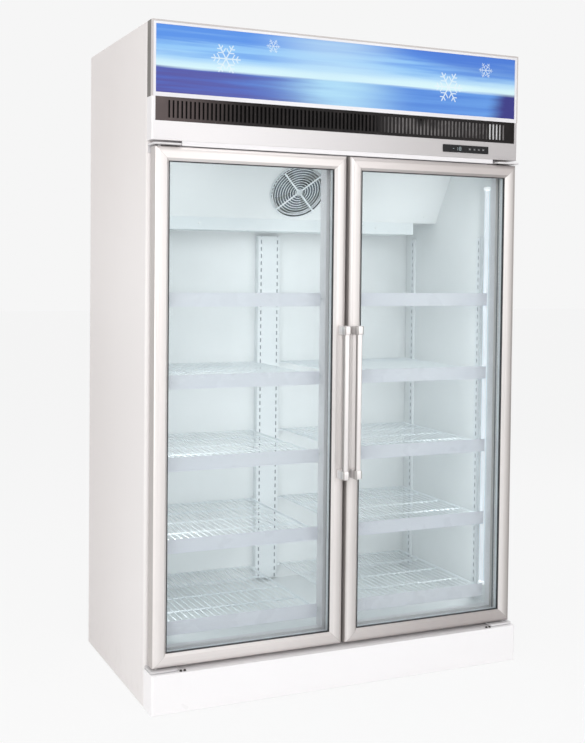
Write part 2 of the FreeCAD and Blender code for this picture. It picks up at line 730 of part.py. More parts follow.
def fan_motor(span, rise):
    """A motor about +Z behind a fan, on a strap whose two legs stand at the given span and end at rise."""
    face_z = -MOTOR_GAP
    can = box(-MOTOR_W / 2, MOTOR_W / 2, -MOTOR_W / 2, MOTOR_W / 2, face_z - MOTOR_H, face_z)
    strap = box(-span, span, -STRAP_W / 2, STRAP_W / 2, face_z - STRAP_T * 2, face_z - STRAP_T)
    legs = [
        box(x0, x0 + STRAP_T, -STRAP_W / 2, STRAP_W / 2, face_z - STRAP_T * 2, rise)
        for x0 in (-span, span - STRAP_T)
    ]
    bore = rod(FAN_SHAFT_R + RUN, Vector(0, 0, -FAN_SHAFT_OUT - FIT), Vector(0, 0, CUT))
    return cut(fuse(can, strap, *legs), bore)


def placed(shape, origin, direction):
    """Turns +Z to a direction and moves the shape's origin to a point."""
    copy = shape.copy()
    turn = FreeCAD.Rotation(Vector(0, 0, 1), direction)
    copy.Placement = FreeCAD.Placement(origin, turn).multiply(copy.Placement)
    return copy


fan_shape = axial_fan(FAN_R)
cond_fan_origin = Vector(COND_X, y_shroud_rear + FAN_TIP_GAP / 2, fan_z)
to_front = Vector(0, -1, 0)
save("condenser_fan", placed(fan_shape, cond_fan_origin, to_front))

# Evaporator cover: a folded sheet from the ceiling down to a floor plate, with a round mouth for the fan
COVER_DROP = 188.0  # ceiling to the cover's floor plate
COVER_TOP_DEPTH = 329.0  # ahead of the inner back, at the ceiling
COVER_LOW_DEPTH = 210.0  # ahead of the inner back, at the floor plate
GUARD_SHARE = 0.5  # fan's height between the floor plate and the ceiling
GUARD_R = 100.0
z_cover = Z_CEILING - COVER_DROP
y_cover_top = Y_INNER - COVER_TOP_DEPTH
y_cover_low = Y_INNER - COVER_LOW_DEPTH
slope = Vector(0, y_cover_top - y_cover_low, Z_CEILING - z_cover).normalize()
out_of_cover = Vector(0, -slope.z, slope.y)
sheet_step = SKIN / slope.z
cover_section = [
    (y_cover_top, Z_CEILING, 0),
    (y_cover_low, z_cover, 0),
    (Y_INNER, z_cover, 0),
    (Y_INNER, z_cover + SKIN, 0),
    (y_cover_low + sheet_step + SKIN * slope.y / slope.z, z_cover + SKIN, 0),
    (y_cover_top + sheet_step, Z_CEILING, 0),
]
cover_sheet = extruded(cover_section, lambda u, v: Vector(-X_INNER, u, v), Vector(X_INNER * 2, 0, 0))
evap_centre = Vector(
    0,
    y_cover_low + (y_cover_top - y_cover_low) * GUARD_SHARE,
    z_cover + COVER_DROP * GUARD_SHARE,
)
EVAP_FAN_R = 84.0
EVAP_MOUTH_GAP = 4.0
evap_mouth = rod(
    EVAP_FAN_R + EVAP_MOUTH_GAP, evap_centre - out_of_cover * CUT * 2, evap_centre + out_of_cover * CUT
)
COIL_END = 145.0  # evaporator coil short of the side walls
AIR_SLOT_D = 10.0
AIR_SLOT_GAP = 24.0
AIR_SLOT_COUNT = 6
AIR_SLOT_FROM_BACK = 30.0
x_coil = X_INNER - COIL_END
air_pitch = x_coil * 2 / AIR_SLOT_COUNT
air_slots = []
for i in range(AIR_SLOT_COUNT):
    x = -x_coil + air_pitch * i
    y = Y_INNER - AIR_SLOT_FROM_BACK
    air_slots.append(
        box(
            x + AIR_SLOT_GAP / 2,
            x + air_pitch - AIR_SLOT_GAP / 2,
            y,
            y + AIR_SLOT_D,
            z_cover - CUT,
            z_cover + SKIN + CUT,
        )
    )
save("evaporator_cover", cut(cover_sheet, evap_mouth, *air_slots))

# Wire guard over the fan's mouth: two crossed bars in a deep rim, and concentric rings welded behind them
GUARD_DEPTH = 13.0
GUARD_RIM = 4.0
RING_W = 3.4
RING_T = 2.4
RING_STEP = 28.0
RING_COUNT = 2
BOSS_R = 12.0
SPOKE_W = 5.0
SPOKE_T = 3.0
SPOKE_TURNS = (45, 135)


def revolved(profile):
    face = Part.Face(outline(profile, lambda u, v: Vector(u, 0, v)))
    return face.revolve(Vector(0, 0, 0), Vector(0, 0, 1), FULL_TURN).Solids[0]


spoke_back = GUARD_DEPTH - SPOKE_T
rim = [(GUARD_R - GUARD_RIM, GUARD_DEPTH, 0), (GUARD_R, 0, 0), (GUARD_R, GUARD_DEPTH, 0)]
guard_pieces = [revolved(rim), rod(BOSS_R, Vector(0, 0, spoke_back), Vector(0, 0, GUARD_DEPTH))]
for turn in SPOKE_TURNS:
    spoke = box(
        -GUARD_R + GUARD_RIM / 2,
        GUARD_R - GUARD_RIM / 2,
        -SPOKE_W / 2,
        SPOKE_W / 2,
        spoke_back,
        GUARD_DEPTH,
    )
    spoke.rotate(Vector(0, 0, 0), Vector(0, 0, 1), turn)
    guard_pieces.append(spoke)
guard = [fuse(*guard_pieces)]
for i in range(RING_COUNT):
    r = BOSS_R + RING_STEP * (i + 1)
    ring = [(r - RING_W / 2, spoke_back, 0), (r, spoke_back - RING_T, 0), (r + RING_W / 2, spoke_back, 0)]
    guard.append(revolved(ring))
save("fan_guard", *[placed(piece, evap_centre, out_of_cover) for piece in guard])

# Evaporator fan behind the cover, its motor and the condenser fan's motor on their straps
EVAP_FAN_BACK = 30.0  # hub's rear face behind the cover
evap_fan_origin = evap_centre - out_of_cover * EVAP_FAN_BACK
save("evaporator_fan", placed(axial_fan(EVAP_FAN_R), evap_fan_origin, out_of_cover))

evap_motor = fan_motor(EVAP_FAN_R + EVAP_MOUTH_GAP + STRAP_W / 2, EVAP_FAN_BACK - SKIN)
cond_motor = fan_motor(mouth_r + STRAP_W / 2, FAN_TIP_GAP / 2)
save(
    "fan_motors",
    placed(evap_motor, evap_fan_origin, out_of_cover),
    placed(cond_motor, cond_fan_origin, to_front),
)

# Evaporator coil on the cover's floor plate, and the drip tray hung below it
EVAP_COIL_D = 110.0
EVAP_COIL_H = 140.0
EVAP_GROOVE_COUNT = 9
EVAP_COIL_BACK = 42.0  # clear of the air slots
TRAY_END = 93.0  # tray short of the side walls
TRAY_D = 160.0
TRAY_H = 42.0
y_coil = Y_INNER - EVAP_COIL_BACK
save(
    "evaporator_coil",
    finned_coil(
        -x_coil,
        x_coil,
        y_coil - EVAP_COIL_D,
        y_coil,
        z_cover + SKIN,
        z_cover + SKIN + EVAP_COIL_H,
        EVAP_GROOVE_COUNT,
        FIN_T,
    ),
)
x_tray = X_INNER - TRAY_END
tray_outer = box(-x_tray, x_tray, y_cover_low, y_cover_low + TRAY_D, z_cover - TRAY_H, z_cover)
tray_hollow = box(
    -x_tray + SKIN,
    x_tray - SKIN,
    y_cover_low + SKIN,
    y_cover_low + TRAY_D - SKIN,
    z_cover - TRAY_H + SKIN,
    z_cover + CUT,
)
save("drip_tray", cut(tray_outer, tray_hollow))

# Discharge line from the top of the compressor to the condenser
PIPE_R = 5.0
PIPE_RISE = 22.0


def pipe(points, radius):
    """A round pipe of straight runs, mitred where it turns."""
    path = Part.makePolygon(points)
    ring_edge = Part.makeCircle(radius, points[0], points[1] - points[0])
    sweep = Part.BRepOffsetAPI.MakePipeShell(path)
    sweep.setTransitionMode(1)
    sweep.add(Part.Wire([ring_edge]))
    sweep.build()
    sweep.makeSolid()
    return sweep.shape()


pipe_top = can_z + COMP_H + PIPE_RISE
pipe_y = y_cond + COND_D / 2
discharge = pipe(
    [
        Vector(COMP_X, comp_y, can_z + COMP_H),
        Vector(COMP_X, comp_y, pipe_top),
        Vector(COMP_X, pipe_y, pipe_top),
        Vector(x_cond, pipe_y, pipe_top),
    ],
    PIPE_R,
)
save("refrigerant_line", discharge)

# Shelf supports: standards on the side walls and a pillar on the back wall
STANDARD_W = 25.0
STANDARD_T = 8.0
STANDARD_INSET = 60.0  # first standard behind the front frame, last one ahead of the back
PILLAR_W = 86.0
PILLAR_T = 26.0
PILLAR_ROUND = 4.0
STANDARD_CLEAR = 12.0  # standards stop short of the floor and of the cover
z_standard_low = Z_FLOOR + STANDARD_CLEAR
z_standard_top = z_cover - TRAY_H - STANDARD_CLEAR
standard_ys = (Y_FRAME_REAR + STANDARD_INSET, Y_INNER - STANDARD_INSET)


def standard(y):
    half = STANDARD_W / 2
    return box(-X_INNER, -X_INNER + STANDARD_T, y - half, y + half, z_standard_low, z_standard_top)


pillar_section = [
    (-PILLAR_W / 2, Y_INNER, 0),
    (-PILLAR_W / 2, Y_INNER - PILLAR_T, PILLAR_ROUND),
    (PILLAR_W / 2, Y_INNER - PILLAR_T, PILLAR_ROUND),
    (PILLAR_W / 2, Y_INNER, 0),
]
pillar = extruded(
    pillar_section, lambda u, v: Vector(u, v, z_standard_low), Vector(0, 0, z_standard_top - z_standard_low)
)
save("shelf_standards", *both_sides([standard(y) for y in standard_ys]), pillar)

# Shelves: white wire panels, five to a bay, each on four clips and with a price strip at its front
SHELF_COUNT = 5
STRIP_BELOW_COVER = 243.0  # highest price strip's top edge below the evaporator cover
STRIP_OVER_FLOOR = 71.0  # lowest one's top edge above the cabinet floor
SHELF_WALL_GAP = 16.0  # shelf to side wall, room for the lamp
SHELF_MULLION_GAP = 9.0
SHELF_FRONT = 20.0  # shelf's front edge behind the front frame's face
SHELF_BACK_GAP = 12.0
SHELF_T = 5.0
RIM_W = 9.0
WIRE_W = 5.0
WIRE_PITCH = 100.0
CROSS_W = 8.0
CROSS_T = 5.0
CROSS_SHARES = (0.25, 0.75)
STRIP_H = 42.0
STRIP_T = 1.6
STRIP_LIP = 3.0
STRIP_OVER = 12.0  # price strip above the shelf's top
CLIP_W = 12.0
CLIP_T = 4.0
CLIP_REACH = 14.0  # clip's ledge under the shelf
CLIP_FRONT = 14.0  # front clips behind the shelf's front edge at the mullion
x_shelf_out = -X_INNER + SHELF_WALL_GAP
x_shelf_in = -X_MULLION - SHELF_MULLION_GAP
y_shelf = Y_FRAME + SHELF_FRONT
y_shelf_rear = Y_INNER - SHELF_BACK_GAP
z_strip_top = z_cover - STRIP_BELOW_COVER
shelf_pitch = (z_strip_top - Z_FLOOR - STRIP_OVER_FLOOR) / (SHELF_COUNT - 1)


def shelf(z_top):
    plate = box(x_shelf_out, x_shelf_in, y_shelf, y_shelf_rear, z_top - SHELF_T, z_top)
    clear_w = x_shelf_in - x_shelf_out - RIM_W * 2
    gaps = max(int(clear_w // WIRE_PITCH), 1)
    gap_w = (clear_w - WIRE_W * (gaps - 1)) / gaps
    slots = []
    for i in range(gaps):
        x = x_shelf_out + RIM_W + (gap_w + WIRE_W) * i
        slots.append(
            box(x, x + gap_w, y_shelf + RIM_W, y_shelf_rear - RIM_W, z_top - SHELF_T - CUT, z_top + CUT)
        )
    bars = []
    for share in CROSS_SHARES:
        y = y_shelf + (y_shelf_rear - y_shelf) * share
        bars.append(box(x_shelf_out, x_shelf_in, y, y + CROSS_W, z_top - SHELF_T - CROSS_T, z_top - SHELF_T))
    return [cut(plate, *slots)] + bars


def price_strip(z_top):
    section = [
        (y_shelf, z_top, 0),
        (y_shelf - STRIP_LIP, z_top, 0),
        (y_shelf - STRIP_LIP, z_top - STRIP_LIP, 0),
        (y_shelf - STRIP_T, z_top - STRIP_LIP, 0),
        (y_shelf - STRIP_T, z_top - STRIP_H + STRIP_LIP, 0),
        (y_shelf - STRIP_LIP, z_top - STRIP_H + STRIP_LIP, 0),
        (y_shelf - STRIP_LIP, z_top - STRIP_H, 0),
        (y_shelf, z_top - STRIP_H, 0),
    ]
    return extruded(section, lambda u, v: Vector(x_shelf_out, u, v), Vector(x_shelf_in - x_shelf_out, 0, 0))


def clip(x_wall, x_tip, y, z_shelf_low):
    """A ledge from its support to under the shelf."""
    x0, x1 = min(x_wall, x_tip), max(x_wall, x_tip)
    return box(x0, x1, y - CLIP_W / 2, y + CLIP_W / 2, z_shelf_low - CLIP_T, z_shelf_low)


clips = []
strips = []
for i in range(SHELF_COUNT):
    z_strip = z_strip_top - shelf_pitch * i
    z_shelf = z_strip - STRIP_OVER
    left_shelf = shelf(z_shelf)
    save(f"shelf_left_{i + 1}", *left_shelf)
    save(f"shelf_right_{i + 1}", *[mirrored(piece) for piece in left_shelf])
    strips.append(price_strip(z_strip))
    low = z_shelf - SHELF_T
    x_standard = -X_INNER + STANDARD_T
    for y in standard_ys:
        clips.append(clip(x_standard, x_shelf_out + CLIP_REACH, y, low))
    clips.append(clip(-X_MULLION, x_shelf_in - CLIP_REACH, y_shelf + CLIP_FRONT, low))
    clips.append(clip(-PILLAR_W / 2, x_shelf_in - CLIP_REACH, Y_INNER - PILLAR_T / 2 - CLIP_W / 2, low))
save("price_strips", *both_sides(strips))
save("shelf_clips", *both_sides(clips))

# Upright lamps in the front corners, on the side walls between the liner and the shelves
LAMP_W = 20.0
LAMP_T = 14.0
LAMP_BEHIND = 4.0  # lamp behind the front frame
LAMP_LOW = 60.0  # above the cabinet floor
LAMP_TOP = 76.0  # below the ceiling
lamp_y = Y_FRAME_REAR + LAMP_BEHIND
lamp = box(-X_INNER, -X_INNER + LAMP_T, lamp_y, lamp_y + LAMP_W, Z_FLOOR + LAMP_LOW, Z_CEILING - LAMP_TOP)
save("led_lamps", *both_sides([lamp]))

# Doors: four mitred bullnose bars round a sealed glass unit
DOOR_SIDE_GAP = 9.0
DOOR_MEETING_GAP = 11.0
NOSE_OUTER = 14.0
NOSE_INNER = 8.0
SEAL_T = 3.0  # visible edge of the glazing seal
LIP_V = 12.0  # depth of the front lip
CHANNEL_U = 30.0  # floor of the glass channel
SEAL_SKIN = 1.0  # seal between lip and glass
PANE_T = 4.0
PANE_GAP = 14.0
REAR_LIP_T = 4.0
REAR_LIP_U = 40.0
REAR_U = 28.0
SEAL_SET = 3.0  # seal's visible edge behind the door face
GROOVE_U = 22.0
GROOVE_W = 4.0
GROOVE_D = 5.0
PIN_U = 16.0
PIN_V = 21.0
PIN_R = 5.0
PIN_IN = 10.0
x_door_out = -X_SIDE + DOOR_SIDE_GAP
x_door_in = -DOOR_MEETING_GAP / 2
lip_u = DOOR_FRAME_W - SEAL_T
channel_rear = LIP_V + SEAL_SKIN * 2 + PANE_T * 2 + PANE_GAP
pin_x = x_door_out + PIN_U
pin_y = Y_DOOR + PIN_V

frame_section = [
    (0, 0, NOSE_OUTER),
    (lip_u - NOSE_INNER, 0, 0),
    (lip_u, NOSE_INNER, 0),
    (lip_u, LIP_V, 0),
    (CHANNEL_U, LIP_V, 0),
    (CHANNEL_U, channel_rear, 0),
    (REAR_LIP_U, channel_rear, 0),
    (REAR_LIP_U, channel_rear + REAR_LIP_T, 0),
    (REAR_U, DOOR_DEPTH, 0),
    (GROOVE_U + GROOVE_W, DOOR_DEPTH, 0),
    (GROOVE_U + GROOVE_W, DOOR_DEPTH - GROOVE_D, 0),
    (GROOVE_U, DOOR_DEPTH - GROOVE_D, 0),
    (GROOVE_U, DOOR_DEPTH, 0),
    (0, DOOR_DEPTH, 0),
]
door_box = (x_door_out, x_door_in, Z_DOOR_LOW, Z_DOOR_TOP, Y_DOOR)
pin_reach = PIN_IN + FIT
bore_starts = ((Z_DOOR_LOW - CUT, Z_DOOR_LOW + pin_reach), (Z_DOOR_TOP - pin_reach, Z_DOOR_TOP + CUT))
pin_bores = Part.makeCompound(
    [rod(PIN_R + RUN, Vector(pin_x, pin_y, z0), Vector(pin_x, pin_y, z1)) for z0, z1 in bore_starts]
)
door_bars = [bar.cut(pin_bores).Solids[0] for bar in mitred_frame(*door_box, frame_section)]
save("door_left_frame", *door_bars)
save("door_right_frame", *[mirrored(bar) for bar in door_bars])

# Glass unit: two panes on a spacer, gripped by the seals in the frame's channel
PANE_EDGE = 1.0  # pane edge clear of the channel floor
SPACER_IN = 2.0
SPACER_W = 10.0
pane_u = CHANNEL_U + PANE_EDGE
pane_v = LIP_V + SEAL_SKIN
rear_pane_v = pane_v + PANE_T + PANE_GAP
panes = []
for v in (pane_v, rear_pane_v):
    y = Y_DOOR + v
    x0, x1 = x_door_out + pane_u, x_door_in - pane_u
    panes.append(box(x0, x1, y, y + PANE_T, Z_DOOR_LOW + pane_u, Z_DOOR_TOP - pane_u))
save("door_left_glass", *panes)
save("door_right_glass", *[mirrored(pane) for pane in panes])

# Seals: glazing seal, spacer between the panes, and magnetic gasket with its dart in the frame's groove
GASKET_U = 18.0
GASKET_W = 14.0
WAIST = 3.0
DART_IN = 4.0
front_seal = [
    (CHANNEL_U, LIP_V, 0),
    (lip_u, LIP_V, 0),
    (lip_u, NOSE_INNER, 0),
    (DOOR_FRAME_W, SEAL_SET + NOSE_INNER / 2, 0),
    (DOOR_FRAME_W, pane_v, 0),
    (CHANNEL_U, pane_v, 0),
]
rear_seal = [
    (CHANNEL_U, channel_rear - SEAL_SKIN, 0),
    (REAR_LIP_U, channel_rear - SEAL_SKIN, 0),
    (REAR_LIP_U, channel_rear, 0),
    (CHANNEL_U, channel_rear, 0),
]
spacer = [
    (pane_u + SPACER_IN, pane_v + PANE_T, 0),
    (pane_u + SPACER_IN + SPACER_W, pane_v + PANE_T, 0),
    (pane_u + SPACER_IN + SPACER_W, rear_pane_v, 0),
    (pane_u + SPACER_IN, rear_pane_v, 0),
]
gasket_rear = DOOR_DEPTH + GASKET_T - FIT
waist_v = DOOR_DEPTH + GASKET_T / 2
gasket = [
    (GASKET_U, DOOR_DEPTH, 0),
    (GROOVE_U + FIT, DOOR_DEPTH, 0),
    (GROOVE_U + FIT, DOOR_DEPTH - DART_IN, 0),
    (GROOVE_U + GROOVE_W - FIT, DOOR_DEPTH - DART_IN, 0),
    (GROOVE_U + GROOVE_W - FIT, DOOR_DEPTH, 0),
    (GASKET_U + GASKET_W, DOOR_DEPTH, 0),
    (GASKET_U + GASKET_W - WAIST, waist_v, 0),
    (GASKET_U + GASKET_W, gasket_rear, 0),
    (GASKET_U, gasket_rear, 0),
    (GASKET_U + WAIST, waist_v, 0),
]
seals = []
for section in (front_seal, rear_seal, spacer, gasket):
    seals.extend(mitred_frame(*door_box, section))
save("door_left_seals", *seals)
save("door_right_seals", *[mirrored(bar) for bar in seals])

# Handles: a flat oval bar between two end brackets on the meeting stile
HANDLE_LENGTH = 472.0
HANDLE_INSET = 16.0  # handle's middle from the door's meeting edge
HANDLE_BAR_W = 22.0
HANDLE_BAR_D = 14.0
BAR_SET = 3.0  # bar behind the bracket's face
BRACKET_H = 28.0
BRACKET_W = 26.0
BRACKET_ROUND = 5.0
BAR_ROUND_SHARE = 0.92
x_handle = x_door_in - HANDLE_INSET
z_handle = (Z_DOOR_LOW + Z_DOOR_TOP) / 2
z_handle_low = z_handle - HANDLE_LENGTH / 2
z_handle_top = z_handle + HANDLE_LENGTH / 2
bar_y = Y_HANDLE + BAR_SET + HANDLE_BAR_D / 2
bar_round = HANDLE_BAR_D / 2 * BAR_ROUND_SHARE
bar_corners = [
    (x_handle + across * HANDLE_BAR_W / 2, bar_y + along * HANDLE_BAR_D / 2, bar_round)
    for across, along in ((-1, -1), (1, -1), (1, 1), (-1, 1))
]
z_bar = z_handle_low + BRACKET_H
handle_pieces = [
    extruded(bar_corners, lambda u, v: Vector(u, v, z_bar), Vector(0, 0, HANDLE_LENGTH - BRACKET_H * 2))
]
bracket_section = [
    (x_handle - BRACKET_W / 2, Y_DOOR, 0),
    (x_handle - BRACKET_W / 2, Y_HANDLE, BRACKET_ROUND),
    (x_handle + BRACKET_W / 2, Y_HANDLE, BRACKET_ROUND),
    (x_handle + BRACKET_W / 2, Y_DOOR, 0),
]
for z0 in (z_handle_low, z_handle_top - BRACKET_H):
    handle_pieces.append(extruded(bracket_section, lambda u, v: Vector(u, v, z0), Vector(0, 0, BRACKET_H)))
save("door_left_handle", *handle_pieces)
save("door_right_handle", *[mirrored(piece) for piece in handle_pieces])

# Hinge brackets: folded plates on the front frame, each with a pin in the door's corner
HINGE_T = 5.0
FLANGE_T = 4.0
HINGE_AHEAD = 6.0  # plate's front edge ahead of the door face
LOW_FLANGE = 48.0
TOP_FLANGE = 25.0
HINGE_PLATE_CLEAR = 4.0
HINGE_ROUND = 9.0
x_hinge = -X_SIDE + HINGE_EDGE
hinge_plan = [
    (x_hinge, Y_FRAME, 0),
    (x_hinge, Y_DOOR - HINGE_AHEAD, HINGE_ROUND),
    (x_hinge + HINGE_LEN, Y_DOOR - HINGE_AHEAD, HINGE_ROUND),
    (x_hinge + HINGE_LEN, Y_FRAME, 0),
]


def hinge(z_plate, z_pin_end, z_flange_low):
    plate = extruded(hinge_plan, lambda u, v: Vector(u, v, z_plate), Vector(0, 0, HINGE_T))
    flange = box(x_hinge, x_hinge + HINGE_LEN, Y_FRAME - FLANGE_T, Y_FRAME, z_flange_low, z_plate + HINGE_T)
    pin = rod(PIN_R, Vector(pin_x, pin_y, z_plate + HINGE_T / 2), Vector(pin_x, pin_y, z_pin_end))
    return fuse(plate, flange, pin)


z_low_plate = Z_DOOR_LOW - HINGE_PLATE_CLEAR - HINGE_T
z_top_plate = Z_DOOR_TOP + HINGE_PLATE_CLEAR
low_hinge = hinge(z_low_plate, Z_DOOR_LOW + PIN_IN, z_low_plate + HINGE_T - LOW_FLANGE)
top_hinge = hinge(z_top_plate, Z_DOOR_TOP - PIN_IN, z_top_plate + HINGE_T - TOP_FLANGE)
save("hinge_brackets", *both_sides([low_hinge, top_hinge]))
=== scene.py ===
import math

import bmesh
import bpy
from mathutils import Matrix, Vector


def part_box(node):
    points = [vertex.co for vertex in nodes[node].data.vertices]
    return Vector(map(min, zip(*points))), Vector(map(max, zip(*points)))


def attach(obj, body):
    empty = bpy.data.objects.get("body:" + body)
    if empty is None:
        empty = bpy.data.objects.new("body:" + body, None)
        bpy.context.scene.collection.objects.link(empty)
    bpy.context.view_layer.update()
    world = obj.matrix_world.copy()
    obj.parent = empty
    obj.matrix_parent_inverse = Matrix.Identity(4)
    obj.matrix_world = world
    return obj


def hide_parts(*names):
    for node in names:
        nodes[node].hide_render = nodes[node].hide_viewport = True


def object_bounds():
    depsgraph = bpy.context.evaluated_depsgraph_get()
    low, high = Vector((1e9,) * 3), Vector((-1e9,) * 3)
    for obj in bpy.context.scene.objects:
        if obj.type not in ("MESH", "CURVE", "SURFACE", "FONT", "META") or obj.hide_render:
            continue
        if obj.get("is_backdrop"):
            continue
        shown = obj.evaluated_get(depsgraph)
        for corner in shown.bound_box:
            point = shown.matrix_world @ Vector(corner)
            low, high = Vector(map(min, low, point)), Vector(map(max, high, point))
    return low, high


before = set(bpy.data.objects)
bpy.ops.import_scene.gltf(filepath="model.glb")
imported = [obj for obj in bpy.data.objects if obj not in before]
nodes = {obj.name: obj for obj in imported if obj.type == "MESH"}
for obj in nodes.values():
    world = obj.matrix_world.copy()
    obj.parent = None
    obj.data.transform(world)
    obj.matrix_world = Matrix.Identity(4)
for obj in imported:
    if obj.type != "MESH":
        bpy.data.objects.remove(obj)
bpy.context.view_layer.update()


# Side panels: full-height folded steel sheets with a baked satin paint, warm grey white.
# Each sheet is bent round the front edge, so the paint shows its fine orange peel in the light that
# runs down the bend. It has painted shade, greyer towards the back and the top, and it is dusty above the
# floor.
class Shade:
    """A socket in a material's tree. Arithmetic on it adds Math nodes, and node() adds any other node."""

    def __init__(self, tree, socket=None):
        self.tree, self.socket = tree, socket

    def node(self, kind, settings=None, sockets=None, output=0):
        """Adds a node, makes its settings, then gives its sockets their values or links."""
        made = self.tree.nodes.new("ShaderNode" + kind)
        for name, value in (settings or {}).items():
            setattr(made, name, value)
        for name, value in (sockets or {}).items():
            target = made.inputs[name]
            if isinstance(value, Shade):
                self.tree.links.new(value.socket, target)
            elif target.type == "RGBA":
                target.default_value = (*value[:3], 1)
            else:
                target.default_value = value
        return Shade(self.tree, made.outputs[output] if made.outputs else None)

    def maths(self, operation, first, second=0.0, third=0.0):
        return self.node("Math", {"operation": operation}, {0: first, 1: second, 2: third})

    def __add__(self, other):
        return self.maths("ADD", self, other)

    __radd__ = __add__

    def __sub__(self, other):
        return self.maths("SUBTRACT", self, other)

    def __rsub__(self, other):
        return self.maths("SUBTRACT", other, self)

    def __mul__(self, other):
        return self.maths("MULTIPLY", self, other)

    __rmul__ = __mul__

    def __truediv__(self, other):
        return self.maths("DIVIDE", self, other)

    def __lt__(self, other):
        return self.maths("LESS_THAN", self, other)

    def __gt__(self, other):
        return self.maths("GREATER_THAN", self, other)

    def __abs__(self):
        return self.maths("ABSOLUTE", self)

    def smooth(self, low, high):
        """0 up to low, 1 from high, and a smooth rise between them."""
        return self.node(
            "MapRange", {"interpolation_type": "SMOOTHSTEP"}, {"Value": self, "From Min": low, "From Max": high}
        )

    def tint(self, dark, light):
        """The colour at this share of the way from dark to light."""
        return self.node("Mix", {"data_type": "RGBA"}, {0: self, 6: dark, 7: light}, 2)

    def axis(self, name):
        """One coordinate of a place: X, Y or Z."""
        return self.node("SeparateXYZ", sockets={0: self}, output=name)


def srgb(red, green, blue):
    """A linear colour from the three numbers, 0 to 255, that it shows on screen."""
    shares = (red / 255, green / 255, blue / 255)
    return tuple(c / 12.92 if c <= 0.04045 else ((c + 0.055) / 1.055) ** 2.4 for c in shares)


def empty_tree(owner):
    """The node tree of a new material or world, with nothing in it."""
    owner.use_nodes = True
    owner.node_tree.nodes.clear()
    return Shade(owner.node_tree)


def start(name):
    """A new material and its Object coordinates."""
    made = bpy.data.materials.new(name)
    return made, empty_tree(made).node("TexCoord", output="Object")


def close(place, sockets):
    """Ends a material in a Principled shader."""
    shader = place.node("BsdfPrincipled", sockets=sockets)
    place.node("OutputMaterial", sockets={"Surface": shader})


def noise(place, scale, detail=2.0, stretch=(1, 1, 1)):
    """Even noise, 0 to 1, stretched along an axis by a small number."""
    spread = place.node("Mapping", sockets={"Vector": place, "Scale": stretch})
    return place.node("TexNoise", sockets={"Vector": spread, "Scale": scale, "Detail": detail}, output="Fac")


def bump(place, height, depth):
    """A normal that follows a height, 0 to 1, of this depth."""
    return place.node("Bump", sockets={"Height": height, "Distance": depth, "Strength": 1.0})


def paint(name, dark, light, gloss=0.35, peel=0.00006, dust=0.0):
    """Baked paint on sheet: cloudy between two near colours, orange peel, and dust that settles low down."""
    made, place = start(name)
    colour = noise(place, 2.6, 3).smooth(0.3, 0.7).tint(dark, light)
    if dust:
        low = (1 - place.axis("Z").smooth(0.0, 0.14)) * noise(place, 34, 4).smooth(0.42, 0.75) * dust
        colour = low.tint(colour, srgb(150, 143, 134))
    close(place, {
        "Base Color": colour,
        "Roughness": noise(place, 14, 2) * 0.12 + gloss - 0.06,
        "Normal": bump(place, noise(place, 420, 1), peel),
    })
    return made


def dress(material, *names):
    """Gives a material to CAD nodes."""
    for name in names:
        nodes[name].data.materials.clear()
        nodes[name].data.materials.append(material)


side_paint, place = start("side_paint")
y, z = place.axis("Y"), place.axis("Z")
# Painted shade: the sheet colour darkens towards the back and the top, mixed with a random cloudy tone.
shade_to_back = y.smooth(-0.32, 0.36)
tone = noise(place, 1.4, 2, (1, 1, 0.4)) * 0.35 + shade_to_back * 0.5 + z.smooth(1.1, 1.8) * 0.5
dust_low = (1 - z.smooth(0.0, 0.2)) * noise(place, 30, 4).smooth(0.45, 0.8) * 0.1
shaded_sheet_colour = tone.tint(srgb(240, 236, 235), srgb(222, 216, 214))
close(place, {
    "Base Color": dust_low.tint(shaded_sheet_colour, srgb(160, 152, 144)),
    "Roughness": noise(place, 12, 2) * 0.1 + 0.34,
    "Normal": bump(place, noise(place, 380, 1), 0.00005),
})
dress(side_paint, "side_panel_left", "side_panel_right")


# Back panel, top cover, rear grille and machine deck: galvanised sheet, screwed to the folds of the sides.
# Hot-dip zinc freezes into flat crystals, each a shade of grey of its own, and dulls with age.
# The vents are punched through, and zinc-plated pan heads stand in two columns and a row on the back.
def zinc(name, dark, light, crystal=55.0, rough=0.36):
    """A bare or plated metal, in crystals that each have a grey of their own."""
    made, place = start(name)
    spangle = place.node("TexVoronoi", sockets={"Vector": place, "Scale": crystal}, output="Color")
    shade = spangle.node("SeparateColor", sockets={0: spangle}, output=0)
    dull = noise(place, 5, 4).smooth(0.35, 0.7)
    close(place, {
        "Base Color": (shade * 0.7 + dull * 0.3).tint(dark, light),
        "Metallic": 0.85,
        "Roughness": shade * 0.12 + dull * 0.1 + rough,
        "Normal": bump(place, noise(place, 240, 2), 0.00003),
    })
    return made


galvanised = zinc("galvanised_sheet", srgb(172, 175, 178), srgb(198, 201, 204), 90.0)
dress(galvanised, "back_panel", "top_cover", "rear_grille", "machine_deck", "condenser_shroud")


def add_object(name, data):
    """A new object in the scene."""
    made = bpy.data.objects.new(name, data)
    bpy.context.scene.collection.objects.link(made)
    return made


def add_piece(name, shape, material, body, slot, *stands_for, soft_angle=None):
    """Makes an object of a finished bmesh, which rides on its body and may stand for CAD nodes."""
    bmesh.ops.remove_doubles(shape, verts=shape.verts, dist=1e-6)
    bmesh.ops.recalc_face_normals(shape, faces=shape.faces)
    mesh = bpy.data.meshes.new(name)
    for face in shape.faces:
        face.smooth = soft_angle is not None
    shape.to_mesh(mesh)
    shape.free()
    if soft_angle is not None:
        mesh.set_sharp_from_angle(angle=math.radians(soft_angle))
    mesh.materials.append(material)
    made = add_object(name, mesh)
    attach(made, body)
    if stands_for:
        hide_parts(*stands_for)


def facing(direction):
    """The turn that brings Z into a direction."""
    return Vector(direction).to_track_quat("Z", "Y").to_matrix().to_4x4()


